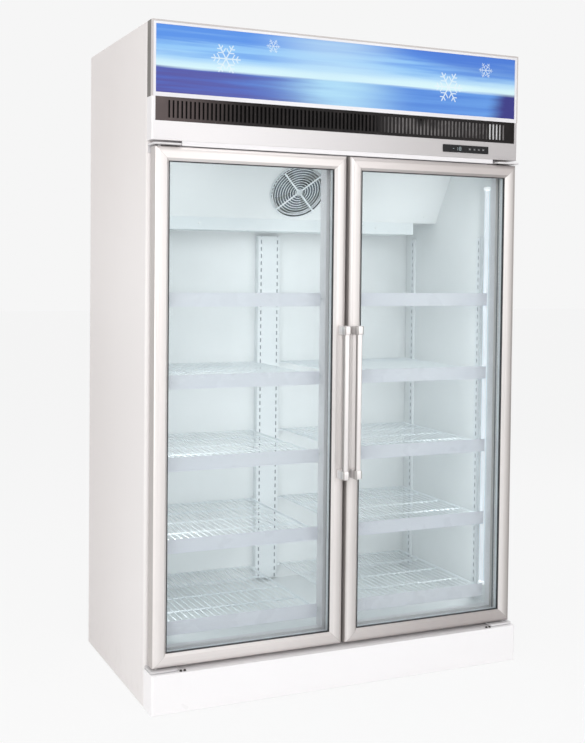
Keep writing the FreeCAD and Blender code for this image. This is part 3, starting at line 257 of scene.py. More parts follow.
def add_rod(shape, start_point, end_point, radius, sides=8, end_radius=None):
    """A round rod between two points, or a cone with another end radius."""
    a, b = Vector(start_point), Vector(end_point)
    last = radius if end_radius is None else end_radius
    bmesh.ops.create_cone(
        shape, cap_ends=True, segments=sides, radius1=radius, radius2=last, depth=(b - a).length,
        matrix=Matrix.Translation((a + b) / 2) @ facing(b - a),
    )


def add_block(shape, low, high, rounding=0.0, segments=2):
    """A block between two corners, with its edges rounded."""
    a, b = Vector(low), Vector(high)
    grow = Matrix.Diagonal((*(b - a), 1))
    made = bmesh.ops.create_cube(shape, size=1, matrix=Matrix.Translation((a + b) / 2) @ grow)["verts"]
    if rounding:
        edges = list({e for v in made for e in v.link_edges})
        bmesh.ops.bevel(
            shape, geom=edges, offset=rounding, segments=segments, affect="EDGES", profile=0.5, material=-1
        )


def add_screw(shape, seat, outward, radius=0.0045, depth=0.0022):
    """A pan head with a cross on it, its seat on a surface and its head facing outward."""
    out, seat = Vector(outward).normalized(), Vector(seat)
    add_rod(shape, seat, seat + out * depth, radius, 16, radius * 0.72)
    top = Matrix.Translation(seat + out * (depth + 0.0001)) @ facing(out)
    cross_bar = Matrix.Diagonal((radius * 1.05, radius * 0.2, 0.0004, 1))
    for angle in (0, math.pi / 2):
        bmesh.ops.create_cube(shape, size=1, matrix=top @ Matrix.Rotation(angle, 4, "Z") @ cross_bar)


screw_zinc = zinc("screw_zinc", srgb(120, 122, 126), srgb(176, 178, 182), 400, 0.3)
BACK_FACE, HEAD_HEIGHT = 0.380, 0.0011
COLUMN_X, COLUMN_FOOT, COLUMN_STEP = 0.592, 0.06, 0.23
TOP_ROW_Z, TOP_ROW_STEP = 1.686, 0.22
seats = [(side * COLUMN_X, BACK_FACE, COLUMN_FOOT + COLUMN_STEP * i) for side in (-1, 1) for i in range(9)]
seats += [(TOP_ROW_STEP * (i - 2), BACK_FACE, TOP_ROW_Z) for i in range(5)]
back_screws = bmesh.new()
for seat in seats:
    add_screw(back_screws, seat, (0, 1, 0), depth=HEAD_HEIGHT)
add_piece("back_screws", back_screws, screw_zinc, "cabinet", "plated_sheet")


# Foam: the rigid foam that fills the walls between the outer sheets and the liner, seen nowhere from outside.
# It is poured in and sets against the sheets, so only its cut edges would show its open cells.
foam, place = start("poured_foam")
cells = place.node("TexVoronoi", sockets={"Vector": place, "Scale": 600.0}, output="Distance")
close(place, {
    "Base Color": noise(place, 20, 3).tint(srgb(214, 196, 140), srgb(232, 218, 172)),
    "Roughness": 0.9,
    "Normal": bump(place, cells, 0.0004),
})
dress(foam, "insulation")


# Liner: painted sheet walls, floor and ceiling of the cabinet, and the folded cover and tray in front of the
# evaporator, which six screws hold. All are cool white, the tray a little darker as painted shade, and the
# lamps at the front wash them with soft light.
liner_paint = paint("liner_paint", srgb(234, 237, 238), srgb(243, 245, 246), 0.4, 0.00004)
dress(liner_paint, "liner_panels", "evaporator_cover")
# The tray's paint is a darker copy of the liner paint: painted shade.
dress(paint("shaded_tray_paint", srgb(222, 228, 231), srgb(234, 238, 240), 0.4, 0.00004), "drip_tray")

cover_middle = Vector((0, 0.052, 1.556))
cover_out = Vector((0, -188, -119)).normalized()
cover_up = Vector((0, -119, 188)).normalized()
COVER_SCREW_X, COVER_SCREW_UP = 0.52, 0.085
TRAY_SCREW_X, TRAY_FACE, TRAY_SCREW_Z = 0.33, 0.1115, 1.441
cover_screws = bmesh.new()
for side in (-1, 1):
    for along in (-COVER_SCREW_UP, COVER_SCREW_UP):
        seat = cover_middle + Vector((side * COVER_SCREW_X, 0, 0)) + cover_up * along
        add_screw(cover_screws, seat, cover_out, 0.004, 0.0015)
    add_screw(cover_screws, (side * TRAY_SCREW_X, TRAY_FACE, TRAY_SCREW_Z), (0, -1, 0), 0.0045, 0.002)
add_piece("cover_screws", cover_screws, liner_paint, "cabinet", "liner_paint")


# Front frame and centre mullion: the painted steel that the door gaskets close on, flat and pale.
# A warm wire behind it keeps frost off, so the paint stays clean.
frame_paint = paint("frame_paint", srgb(226, 223, 226), srgb(240, 238, 240), 0.36)
dress(frame_paint, "front_frame", "centre_mullion")


# Base frame and feet: welded square tube under the cabinet, painted black, on four screw feet.
# The feet are set once when the freezer is levelled, each with a lock nut, and dust lies low on the frame.
black_frame = paint("black_frame", srgb(24, 24, 26), srgb(38, 38, 41), 0.45, 0.00008, 0.6)
dress(black_frame, "base_frame")
feet_metal = zinc("feet_metal", srgb(118, 118, 120), srgb(160, 161, 164), 200, 0.4)
FOOT_X, FOOT_YS = 0.6035, (-0.187, 0.3185)
FOOT_STAGES = (  # low, high, radius at each end, sides
    (0, 0.004, 0.0195, 0.0195, 32),  # pad
    (0.004, 0.012, 0.0195, 0.009, 32),  # cone
    (0.012, 0.078, 0.006, 0.006, 20),  # stem
    (0.068, 0.076, 0.0105, 0.0105, 6),  # lock nut
)
feet = bmesh.new()
for side in (-1, 1):
    for foot_y in FOOT_YS:
        for low, high, low_r, high_r, sides in FOOT_STAGES:
            add_rod(feet, (side * FOOT_X, foot_y, low), (side * FOOT_X, foot_y, high), low_r, sides, high_r)
add_piece("levelling_feet_set", feet, feet_metal, "cabinet", "black_frame", "levelling_feet", soft_angle=30)


# Kick panel: one folded sheet across the front under the doors, in glossy white paint, the brightest panel.
# Two dark screws beside each bottom hinge hold its upper fold.
kick_paint = paint("kick_paint", srgb(249, 247, 248), srgb(250, 248, 249), 0.3, 0.00003)
dress(kick_paint, "kick_panel")
UPPER_FOLD_Z, FOLD_SCREW_Y, FOLD_SCREW_XS = 0.118, -0.341, (0.533, 0.521)
fold_screws = bmesh.new()
for side in (-1, 1):
    for screw_x in FOLD_SCREW_XS:
        add_screw(fold_screws, (side * screw_x, FOLD_SCREW_Y, UPPER_FOLD_Z), (0, 0, 1), 0.0044, 0.0045)
dark_zinc = zinc("dark_zinc", srgb(50, 47, 46), srgb(78, 74, 72), 400.0, 0.4)
add_piece("fold_screws", fold_screws, dark_zinc, "cabinet", "hinge_steel")


# Lightbox: a snap frame of white anodised bars round a printed panel, lit from behind by two lamp bars.
# The panel carries a generic picture of cold light: streaks of sky blue over a pale glow, indigo low down,
# and a few frost crystals. The housing behind it is a folded box in grey paint, darkened as painted shade
# for the shadow on its sides.
SNAP_TOP, SNAP_SIDE = 1.9945, 0.6205
snap_white, place = start("snap_frame_white")
# Painted shade: the frame's top and outer sides are darker than its front.
shaded_outer_edge = place.maths("MAXIMUM", place.axis("Z") > SNAP_TOP, abs(place.axis("X")) > SNAP_SIDE)
frame_tone = noise(place, 2.6, 3).smooth(0.3, 0.7).tint(srgb(222, 220, 224), srgb(234, 233, 236))
close(place, {
    "Base Color": (shaded_outer_edge * 0.8).tint(frame_tone, srgb(184, 176, 172)),
    "Roughness": noise(place, 14, 2) * 0.12 + 0.24,
    "Normal": bump(place, noise(place, 420, 1), 0.00004),
})
dress(snap_white, "lightbox_frame")
# The housing's dark grey is grey paint with painted shade for its shadowed sides.
dress(paint("housing_grey", srgb(94, 90, 86), srgb(112, 107, 102), 0.45), "lightbox_housing")


CRYSTALS = (((-0.40, 1.905), 0.046), ((-0.25, 1.955), 0.022), ((0.36, 1.88), 0.052), ((0.5, 1.945), 0.026))
BARBS = ((0.42, 0.3), (0.7, 0.22))  # place on the arm and length, as shares of its reach


def frost_crystal(picture, x, z, centre, reach):
    """Lays a six-armed crystal of fine pale lines over the picture."""
    dx, dz = (x - centre[0]) / reach, (z - centre[1]) / reach
    far = x.maths("SQRT", dx * dx + dz * dz)
    sixth = math.pi / 3
    turned = x.maths("MODULO", x.maths("ARCTAN2", dz, dx) + (math.tau + sixth / 2), sixth)
    folded = abs(turned - sixth / 2)
    along, off = far * x.maths("COSINE", folded), far * x.maths("SINE", folded)
    lines = (off < 0.04) * (far < 1)
    for at, length in BARBS:
        u = along - at
        barb = (abs(u * math.sin(sixth) - off * math.cos(sixth)) < 0.034) * (off < length) * (u > -0.02)
        lines = x.maths("MAXIMUM", lines, barb)
    return (lines * 0.75).tint(picture, srgb(236, 249, 255))


PANEL_HALF_W, PANEL_FOOT, PANEL_H = 0.61, 1.794, 0.194
panel_print, place = start("lit_panel")
x, z = place.axis("X"), place.axis("Z")
across = x / PANEL_HALF_W
height = (z - PANEL_FOOT) / PANEL_H
streaks = noise(place, 3.0, 6, (0.4, 1, 6)).smooth(0.28, 0.72)
fine_streaks = noise(place, 9.0, 4, (0.25, 1, 7)).smooth(0.3, 0.7)
horizon = noise(place, 1.3, 1) * 0.1 + 0.33
above = height - horizon + (streaks - 0.5) * 0.12
rise = above.smooth(0.0, 0.3)
to_top = (above + (fine_streaks - 0.5) * 0.3).smooth(0.15, 0.62)
sky = to_top.tint(rise.tint(srgb(220, 249, 255), srgb(150, 204, 252)), srgb(92, 150, 236))
deep = (streaks * 0.5 + across * 0.5).smooth(0.35, 0.75) * above.smooth(0.12, 0.4)
haze = (1 - abs(across + 0.08).smooth(0.02, 0.5)) * (streaks * 0.3 + 0.55)
upper = (haze * 0.7).tint((deep * 0.6).tint(sky, srgb(58, 108, 210)), srgb(206, 238, 253))
to_left = 1 - (across + (streaks - 0.5) * 0.45).smooth(-0.75, -0.1)
to_corner = (across + (streaks - 0.5) * 0.1).smooth(0.8, 0.93)
blue_streaks = (fine_streaks * 0.6).tint(srgb(82, 138, 224), srgb(112, 172, 242))
low_blue = (haze * 1.2).tint(blue_streaks, srgb(186, 232, 253))
indigo = (fine_streaks * 0.7 + (0.3 - abs(height - 0.25))).tint(srgb(88, 78, 150), srgb(80, 108, 200))
low_colour = to_corner.tint(to_left.tint(low_blue, indigo), srgb(50, 50, 134))
below = 1 - (height - horizon + (fine_streaks - 0.5) * 0.03).smooth(-0.02, 0.03)
picture = below.tint(upper, low_colour)
for centre, reach in CRYSTALS:
    picture = frost_crystal(picture, x, z, centre, reach)
close(place, {
    "Base Color": place.node("Mix", {"data_type": "RGBA"}, {0: 0.3, 6: (0, 0, 0), 7: picture}, 2),
    "Roughness": 0.24,
    "Specular IOR Level": 0.2,
    "Emission Color": picture,
    "Emission Strength": 0.62,
})
dress(panel_print, "lightbox_graphic")


def lit(name, colour, strength):
    """A frosted part that glows. On lamp covers it is lamp light; on lamp caps it is a painted highlight."""
    made, place = start(name)
    close(place, {
        "Base Color": colour,
        "Roughness": noise(place, 30, 2) * 0.1 + 0.35,
        "Emission Color": noise(place, 9, 1).tint(colour, tuple(min(1, c * 1.04) for c in colour)),
        "Emission Strength": strength,
    })
    return made


dress(lit("lightbox_lamp_cover", srgb(236, 244, 255), 0.6), "lightbox_lamps")


# Vent grille: a glossy black moulding across the machine compartment, cut by a row of leaning slots. A mesh
# filter is clipped behind it, with dust on the side that the condenser fan pulls from and a painted patch of
# light near its right end. The moulding is painted greyer towards its left end.
grille_black, place = start("grille_black")
# The moulding is painted greyer towards its left end, with a faint noisy mottle.
left_grey_and_mottle = noise(place, 26, 4).smooth(0.4, 0.85) * 0.1 + (1 - place.axis("X").smooth(-0.62, -0.3)) * 0.9
close(place, {
    "Base Color": left_grey_and_mottle.tint(srgb(25, 22, 22), srgb(96, 86, 85)),
    "Roughness": noise(place, 18, 3) * 0.14 + 0.14,
    "Specular IOR Level": 0.08,
    "Normal": bump(place, noise(place, 160, 1), 0.00002),
})
dress(grille_black, "vent_grille")

filter_mesh, place = start("filter_mesh")
x = place.axis("X")
mesh_cells = place.node("TexVoronoi", sockets={"Vector": place, "Scale": 900.0}, output="Distance")
threads = mesh_cells.smooth(0.1, 0.6)
patches = noise(place, 14, 3).smooth(0.25, 0.6)
caught = x.smooth(0.08, 0.2) * patches
# A painted patch of light on the filter near its right end.
painted_light_strip = x.smooth(0.51, 0.52) * (1 - x.smooth(0.555, 0.565))
dusty = (caught * (threads * 0.4 + 0.6)).tint(srgb(2, 2, 2), srgb(150, 146, 146))
close(place, {
    "Base Color": painted_light_strip.tint(dusty, srgb(250, 250, 252)),
    "Roughness": 0.8,
    "Specular IOR Level": 0.1,
    "Normal": bump(place, threads, 0.0003),
})
FILTER_LOW, FILTER_HIGH = (-0.609, -0.3153, 1.7165), (0.609, -0.3115, 1.7785)
intake_filter = bmesh.new()
add_block(intake_filter, FILTER_LOW, FILTER_HIGH, 0.001)
add_piece("intake_filter", intake_filter, filter_mesh, "cabinet", "black_frame")


# Fascia: a folded strip in silver paint over the doors, with a white strip hanging at its foot.
# The metallic flakes in the paint lie flat, so it has a soft sheen and no sharp reflections.
# Its silver is painted darker towards the right end, as painted shade.
STRIP_TOP = 1.6575
fascia_silver, place = start("fascia_silver")
flake = noise(place, 1500, 1).smooth(0.3, 0.75)
foot_strip = place.axis("Z") < STRIP_TOP
# Painted shade: the silver grows darker towards the right end.
fascia_shade_to_right = place.axis("X").smooth(-0.62, 0.5)
silver = (flake * 0.12 + fascia_shade_to_right * 0.88).tint(srgb(232, 229, 230), srgb(176, 172, 172))
close(place, {
    "Base Color": foot_strip.tint(silver, srgb(232, 230, 232)),
    "Metallic": 0.1,
    "Roughness": flake * 0.08 + 0.34,
    "Normal": bump(place, flake, 0.000015),
})
dress(fascia_silver, "fascia_panel")


# Controller: a gloss black bezel with a smoked window, a three-figure display and four soft keys.
# The figures are lit segments behind the window, and each key has a plain mark: a ring, a drop, up and down.
bezel_black, place = start("bezel_black")
close(place, {
    "Base Color": noise(place, 60, 2).tint(srgb(14, 14, 16), srgb(24, 24, 27)),
    "Roughness": noise(place, 40, 2) * 0.1 + 0.12,
    "Specular IOR Level": 0.12,
})
dress(bezel_black, "controller")

FIGURE_W, FIGURE_H, FIGURE_STEP, STROKE, RELIEF = 0.0062, 0.0104, 0.0125, 0.0012, 0.0002
DISPLAY_X, DISPLAY_Z, DISPLAY_FLOOR = 0.3925, 1.6855, -0.3199
SEGMENTS = {  # place across, place above, and whether it lies level
    "top": (0, 1, True), "middle": (0, 0, True), "foot": (0, -1, True),
    "high_left": (-1, 0.5, False), "high_right": (1, 0.5, False),
    "low_left": (-1, -0.5, False), "low_right": (1, -0.5, False),
}
LIT_SEGMENTS = (("middle",), ("high_right", "low_right"), tuple(SEGMENTS))
figures = bmesh.new()
for i, lit_ones in enumerate(LIT_SEGMENTS):
    for name in lit_ones:
        across, above, level = SEGMENTS[name]
        centre_x = DISPLAY_X + (i - 1) * FIGURE_STEP + across * FIGURE_W / 2
        centre_z = DISPLAY_Z + above * FIGURE_H / 2
        half_w, half_h = (FIGURE_W * 0.36, STROKE / 2) if level else (STROKE / 2, FIGURE_H * 0.19)
        add_block(
            figures,
            (centre_x - half_w, DISPLAY_FLOOR - RELIEF, centre_z - half_h),
            (centre_x + half_w, DISPLAY_FLOOR, centre_z + half_h),
        )
figure_glow, place = start("figure_glow")
close(place, {
    "Base Color": noise(place, 300, 1).tint(srgb(150, 160, 164), srgb(168, 178, 180)),
    "Roughness": 0.4,
    "Emission Color": srgb(186, 214, 220),
    "Emission Strength": 0.25,
})
add_piece("display_figures", figures, figure_glow, "cabinet", "lamp")

KEY_FIRST_X, KEY_STEP, MARK_R = 0.4405, 0.017, 0.0018
key_rubber, place = start("key_rubber")
x, z = place.axis("X"), place.axis("Z")
which = x.maths("FLOOR", (x - (KEY_FIRST_X - KEY_STEP / 2)) / KEY_STEP)
u = x - which * KEY_STEP - KEY_FIRST_X
v = z - DISPLAY_Z
far = x.maths("SQRT", u * u + v * v)
ring = abs(far - MARK_R) < 0.0004
drop = (abs(u) < (0.0022 - v) * 0.45) * (v > -0.0008) + (far < 0.0014) * (v < 0)
rising = (abs(u) < (MARK_R - v) * 0.65) * (v > -0.0016)
falling = (abs(u) < (v + MARK_R) * 0.65) * (v < 0.0016)
marks = (ring, drop, rising, falling)
mark = sum(x.maths("COMPARE", which, number, 0.5) * shape for number, shape in enumerate(marks))
close(place, {
    "Base Color": x.maths("MINIMUM", mark, 1.0).tint(srgb(34, 34, 37), srgb(196, 196, 198)),
    "Roughness": noise(place, 200, 1) * 0.1 + 0.45,
    "Normal": bump(place, noise(place, 900, 1), 0.00002),
})
dress(key_rubber, "button_set", "button_defrost", "button_up", "button_down")


# Compressor: a black hermetic can of two drawn steel halves, welded round its middle, on a foot plate, with a
# terminal box at its side. Rubber grommets stand between the plate and the machine deck.
def add_turned(shape, outline, steps, foot=(0, 0, 0), closed=False):
    """Spins an outline of radii and heights round the upright line through its foot."""
    points = [shape.verts.new((foot[0] + radius, foot[1], foot[2] + height)) for radius, height in outline]
    ends = points[1:] + points[:1] if closed else points[1:]
    edges = [shape.edges.new(pair) for pair in zip(points, ends)]
    bmesh.ops.spin(
        shape, geom=points + edges, cent=(foot[0], foot[1], 0), axis=(0, 0, 1), angle=math.tau, steps=steps,
        use_merge=True,
    )


can_black = paint("can_black", srgb(18, 18, 19), srgb(32, 32, 34), 0.32, 0.00012)
CAN_X, CAN_Y, CAN_LOW = -0.37, 0.1315, 1.726
PLATE_LOW, PLATE_HIGH = (CAN_X - 0.125, CAN_Y - 0.085, 1.722), (CAN_X + 0.125, CAN_Y + 0.085, CAN_LOW)
TERMINALS_LOW, TERMINALS_HIGH = (CAN_X + 0.066, CAN_Y - 0.028, 1.765), (CAN_X + 0.1, CAN_Y + 0.028, 1.83)
CAN_OUTLINE = (
    (0.0, 0.0), (0.05, 0.0), (0.067, 0.008), (0.0725, 0.028), (0.0725, 0.086), (0.075, 0.087), (0.075, 0.093),
    (0.0715, 0.094), (0.0705, 0.135), (0.064, 0.16), (0.047, 0.175), (0.022, 0.18), (0.0, 0.18),
)
can = bmesh.new()
add_turned(can, CAN_OUTLINE, 48, (CAN_X, CAN_Y, CAN_LOW))
add_block(can, PLATE_LOW, PLATE_HIGH, 0.0015)
add_block(can, TERMINALS_LOW, TERMINALS_HIGH, 0.005)
add_piece("compressor_can", can, can_black, "cabinet", "compressor_black", "compressor", soft_angle=40)

black_rubber, place = start("black_rubber")
close(place, {
    "Base Color": noise(place, 40, 3).tint(srgb(22, 22, 24), srgb(40, 40, 42)),
    "Roughness": noise(place, 90, 2) * 0.14 + 0.55,
    "Normal": bump(place, noise(place, 700, 1), 0.00004),
})
dress(black_rubber, "compressor_mounts")


# Condenser and evaporator: copper tubes expanded into stacks of thin aluminium fins, between end plates.
# The fins are left bare, and the tubes run through them in two columns.
FIN_T, END_PLATE_T, FIN_INSET = 0.00018, 0.0011, 0.0004
TUBE_R, TUBE_INSET, TUBE_ROW_STEP, TUBE_COLUMNS = 0.0048, 0.0002, 0.045, (0.3, 0.7)


def add_fins(name, low, high, slot, spacing=0.0045):
    """Upright fins through a box, with columns of tubes that run along it."""
    width, depth, height = high.x - low.x, high.y - low.y, high.z - low.z
    stack = bmesh.new()
    count = int(width / spacing)
    for i in range(count + 1):
        thick = END_PLATE_T if i in (0, count) else FIN_T
        fin_x = low.x + FIN_INSET + (width - 2 * FIN_INSET) * i / count
        middle = Matrix.Translation((fin_x, (low.y + high.y) / 2, (low.z + high.z) / 2))
        bmesh.ops.create_cube(stack, size=1, matrix=middle @ Matrix.Diagonal((thick, depth, height, 1)))
    add_piece(name + "_fins", stack, fin_metal, "cabinet", slot, name)
    tubes = bmesh.new()
    rows = int(height / TUBE_ROW_STEP)
    for row in range(rows):
        tube_z = low.z + height * (row + 0.5) / rows
        for share in TUBE_COLUMNS:
            tube_y = low.y + depth * share
            ends = [(tube_x, tube_y, tube_z) for tube_x in (low.x + TUBE_INSET, high.x - TUBE_INSET)]
            add_rod(tubes, *ends, TUBE_R, 10)
    add_piece(name + "_tubes", tubes, copper, "cabinet", "copper", soft_angle=40)


fin_metal = zinc("bare_fins", srgb(176, 178, 181), srgb(206, 208, 211), 90, 0.3)
copper, place = start("copper_tube")
tarnish = noise(place, 22, 4).smooth(0.35, 0.75)
close(place, {
    "Base Color": tarnish.tint(srgb(214, 138, 98), srgb(140, 84, 58)),
    "Metallic": 1.0,
    "Roughness": tarnish * 0.25 + 0.22,
})
dress(copper, "refrigerant_line")
add_fins("condenser", *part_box("condenser"), "fins")
add_fins("evaporator_coil", *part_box("evaporator_coil"), "fins", 0.006)


# Fans: four cambered blades on a hub, moulded in dark grey, one behind the evaporator cover and one behind
# the condenser. Each is pushed on the shaft of a small motor that hangs on a strap.
fan_plastic = paint("fan_plastic", srgb(92, 102, 112), srgb(116, 126, 136), 0.4, 0.00003)
BLADE_COUNT, BLADE_T, BLADE_RISE, BLADE_ROOT, TIP_GAP = 4, 0.0016, 0.013, 0.016, 0.002
HALF_ANGLE, TIP_WIDENING, SWEEP = 0.42, 0.2, 0.16  # radians
TILT, TWIST, CAMBER = 0.011, 0.25, 0.004
HUB_OUTLINE = (
    (0.0, 0.0265), (0.012, 0.0262), (0.018, 0.0235), (0.02, 0.019), (0.02, 0.0), (0.0165, 0.0), (0.0165, 0.004),
    (0.0, 0.004),
)


def add_fan(name, centre, out, radius, node):
    """A wheel whose blades are flat grids, bent and swept, which turns with its node."""
    wheel = bmesh.new()
    for i in range(BLADE_COUNT):
        first = len(wheel.verts)
        bmesh.ops.create_grid(wheel, x_segments=10, y_segments=8, size=1)
        wheel.verts.ensure_lookup_table()
        blade = wheel.verts[first:]
        for v in blade:
            along, wide = (v.co.x + 1) / 2, v.co.y
            reach = BLADE_ROOT + (radius - TIP_GAP - BLADE_ROOT) * along
            spread = (HALF_ANGLE + TIP_WIDENING * along) * wide - SWEEP * along * along
            pitch = TILT * wide * (1 - TWIST * along) + CAMBER * (1 - wide * wide)
            v.co = Vector((reach * math.cos(spread), reach * math.sin(spread), BLADE_RISE + pitch))
        bmesh.ops.transform(wheel, matrix=Matrix.Rotation(math.tau * i / BLADE_COUNT, 4, "Z"), verts=blade)
    bmesh.ops.solidify(wheel, geom=wheel.faces[:], thickness=BLADE_T)
    add_turned(wheel, HUB_OUTLINE, 32)
    add_rod(wheel, (0, 0, -0.014), (0, 0, 0.004), 0.004, 16)
    bmesh.ops.transform(wheel, matrix=Matrix.Translation(centre) @ facing(out), verts=wheel.verts)
    add_piece(name, wheel, fan_plastic, node, "fan_plastic", node, soft_angle=40)


EVAPORATOR_FAN_R, BEHIND_COVER = 0.083, 0.030
CONDENSER_FAN_R, CONDENSER_FAN_AT = 0.099, (0.11, -0.088, 1.827)
behind_mouth = cover_middle - cover_out * BEHIND_COVER
add_fan("evaporator_fan_wheel", behind_mouth, cover_out, EVAPORATOR_FAN_R, "evaporator_fan")
add_fan("condenser_fan_wheel", CONDENSER_FAN_AT, (0, -1, 0), CONDENSER_FAN_R, "condenser_fan")
motor_steel = zinc("motor_steel", srgb(86, 88, 92), srgb(124, 126, 130), 260, 0.42)
dress(motor_steel, "fan_motors")


# Electrical box: a moulded black box behind the rear grille, with the mains inlet in its rear face.
# Three flat nickel-plated pins stand on the floor of the inlet.
dress(paint("box_black", srgb(34, 34, 36), srgb(48, 48, 51), 0.5), "electrical_box")
pin_nickel = zinc("pin_nickel", srgb(176, 172, 160), srgb(206, 202, 190), 600, 0.24)
INLET_X, INLET_Z, INLET_FLOOR, PIN_TIP = 0.5, 1.762, 0.3598, 0.375
PIN_HALF_W, PIN_HALF_H = 0.002, 0.001
pins = bmesh.new()
for across, above in ((-0.007, -0.002), (0, 0.002), (0.007, -0.002)):
    pin_x, pin_z = INLET_X + across, INLET_Z + above
    low = (pin_x - PIN_HALF_W, INLET_FLOOR, pin_z - PIN_HALF_H)
    high = (pin_x + PIN_HALF_W, PIN_TIP, pin_z + PIN_HALF_H)
    add_block(pins, low, high, 0.0006, 1)
add_piece("inlet_pins", pins, pin_nickel, "cabinet", "plated_sheet")


# Fan guard: a cage of welded steel rings on two crossed bars, dipped in white plastic.
# Ten flat rings face the cabinet, and short ribs join the outer one to the ring on the cover. A black
# sleeve round the fan's mouth stands inside the rim.
wire_white = paint("wire_white", srgb(232, 238, 242), srgb(246, 250, 252), 0.3, 0.00002)
RING_STEPS = 72


def add_ring(shape, radius, wire, height, sides=8):
    """A wire ring about Z at a height."""
    standing = Matrix.Translation((radius, 0, height)) @ Matrix.Rotation(math.pi / 2, 4, "X")
    section = bmesh.ops.create_circle(shape, segments=sides, radius=wire, matrix=standing)["verts"]
    edges = list({e for v in section for e in v.link_edges})
    bmesh.ops.spin(
        shape, geom=section + edges, cent=(0, 0, 0), axis=(0, 0, 1), angle=math.tau, steps=RING_STEPS,
        use_merge=True,
    )


GUARD_DEPTH, WIRE, RING_COUNT, FIRST_RING_R, RING_STEP = 0.013, 0.0013, 10, 0.0135, 0.0091
RIM_R, RIM_TOP_R, RIB_COUNT = 0.0984, 0.0958, 44
CROSS_LOW, CROSS_HIGH = (-0.0975, -0.0028, GUARD_DEPTH - 0.0022), (0.0975, 0.0028, GUARD_DEPTH)
guard = bmesh.new()
for i in range(RING_COUNT):
    add_ring(guard, FIRST_RING_R + RING_STEP * i, WIRE, GUARD_DEPTH - 0.0014)
add_ring(guard, RIM_R, 0.0016, 0.0018, 10)
add_ring(guard, RIM_R, WIRE, 0.0072)
for i in range(RIB_COUNT):
    out_x, out_y = math.cos(math.tau * i / RIB_COUNT), math.sin(math.tau * i / RIB_COUNT)
    foot, top = (out_x * RIM_R, out_y * RIM_R, 0.001), (out_x * RIM_TOP_R, out_y * RIM_TOP_R, 0.0116)
    add_rod(guard, foot, top, 0.0015, 6)
for turn in (math.pi / 4, 3 * math.pi / 4):
    first = len(guard.verts)
    add_block(guard, CROSS_LOW, CROSS_HIGH, 0.0007, 1)
    guard.verts.ensure_lookup_table()
    bmesh.ops.transform(guard, matrix=Matrix.Rotation(turn, 4, "Z"), verts=guard.verts[first:])
add_rod(guard, (0, 0, GUARD_DEPTH - 0.0024), (0, 0, GUARD_DEPTH), 0.0095, 24)
guard_place = Matrix.Translation(cover_middle) @ facing(cover_out)
bmesh.ops.transform(guard, matrix=guard_place, verts=guard.verts)
add_piece("fan_guard_wires", guard, wire_white, "cabinet", "wire_paint", "fan_guard", soft_angle=40)

SLEEVE_SECTION = ((0.0936, 0.0002), (0.0946, 0.0002), (0.0946, 0.0096), (0.0936, 0.0096))
mouth_sleeve = bmesh.new()
add_turned(mouth_sleeve, SLEEVE_SECTION, RING_STEPS, closed=True)
bmesh.ops.transform(mouth_sleeve, matrix=guard_place, verts=mouth_sleeve.verts)
add_piece("fan_mouth_sleeve", mouth_sleeve, black_rubber, "cabinet", "rubber", soft_angle=40)


# Shelf supports: roll-formed standards on the walls and a pillar at the back, coated white, with folded clips.
# A row of slots is punched down each standard, and two rows down the pillar, and the clips hook into them.
# The slots are painted grey, as painted shade in their openings.
STANDARD_YS, STANDARD_FACE, PILLAR_FACE = (-0.187, 0.2615), 0.5675, 0.2962
SLOT_PITCH, SLOT_HALF_W, PILLAR_SLOT_X = 0.025, 0.0022, 0.031
standard_coat, place = start("standard_coat")
x, y, z = (place.axis(name) for name in "XYZ")
slot_high = abs(z.maths("FRACT", z / SLOT_PITCH) - 0.5) < 0.27
front_row, rear_row = (abs(y - row_y) < SLOT_HALF_W for row_y in STANDARD_YS)
on_wall = x.maths("MAXIMUM", front_row, rear_row) * (abs(x) < STANDARD_FACE) * (abs(x) > 0.5)
on_pillar = (abs(abs(x) - PILLAR_SLOT_X) < SLOT_HALF_W) * (y < PILLAR_FACE)
# Painted shade: the slots show grey, for the shadow in their openings, and sink by a bump.
shaded_slots = slot_high * x.maths("MAXIMUM", on_wall, on_pillar)
coat = noise(place, 3, 2).tint(srgb(228, 232, 235), srgb(240, 243, 245))
close(place, {
    "Base Color": shaded_slots.tint(coat, srgb(140, 146, 152)),
    "Roughness": noise(place, 14, 2) * 0.12 + 0.3,
    "Normal": bump(place, 1 - shaded_slots, 0.0004),
})
dress(standard_coat, "shelf_standards")
dress(wire_white, "shelf_clips")


# Shelves: panels of welded steel wire dipped in white plastic, five to a bay.
# Thin wires run front to back over three cross bars, inside a rim of thicker wire. A pale strip of extruded
# plastic for price labels is clipped along the front rim.
WIRE_COUNT, SIDE_GAP, RIM_INSET = 24, 0.012, 0.0026
THIN_R, CROSS_R, RACK_RIM_R = 0.0016, 0.0028, 0.0025
for side in ("left", "right"):
    for number in range(1, 6):
        node = f"shelf_{side}_{number}"
        low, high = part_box(node)
        thin_z, cross_z, side_z, end_z = (high.z - under for under in (0.0016, 0.0056, 0.0026, 0.0052))
        rack = bmesh.new()
        for i in range(WIRE_COUNT):
            at_x = low.x + SIDE_GAP + (high.x - low.x - 2 * SIDE_GAP) * i / (WIRE_COUNT - 1)
            add_rod(rack, (at_x, low.y + 0.004, thin_z), (at_x, high.y - 0.004, thin_z), THIN_R, 6)
        for share in (0.25, 0.5, 0.75):
            at_y = low.y + (high.y - low.y) * share
            add_rod(rack, (low.x + 0.003, at_y, cross_z), (high.x - 0.003, at_y, cross_z), CROSS_R, 8)
        for at_x in (low.x + RIM_INSET, high.x - RIM_INSET):
            add_rod(rack, (at_x, low.y + 0.001, side_z), (at_x, high.y - 0.001, side_z), RACK_RIM_R, 10)
        for at_y in (low.y + RIM_INSET, high.y - RIM_INSET):
            add_rod(rack, (low.x + 0.001, at_y, end_z), (high.x - 0.001, at_y, end_z), RACK_RIM_R, 10)
        add_piece(f"wire_shelf_{side}_{number}", rack, wire_white, "cabinet", "wire_paint", node, soft_angle=40)

strip_plastic = paint("strip_plastic", srgb(240, 240, 249), srgb(246, 246, 253), 0.28, 0.00002)
dress(strip_plastic, "price_strips")
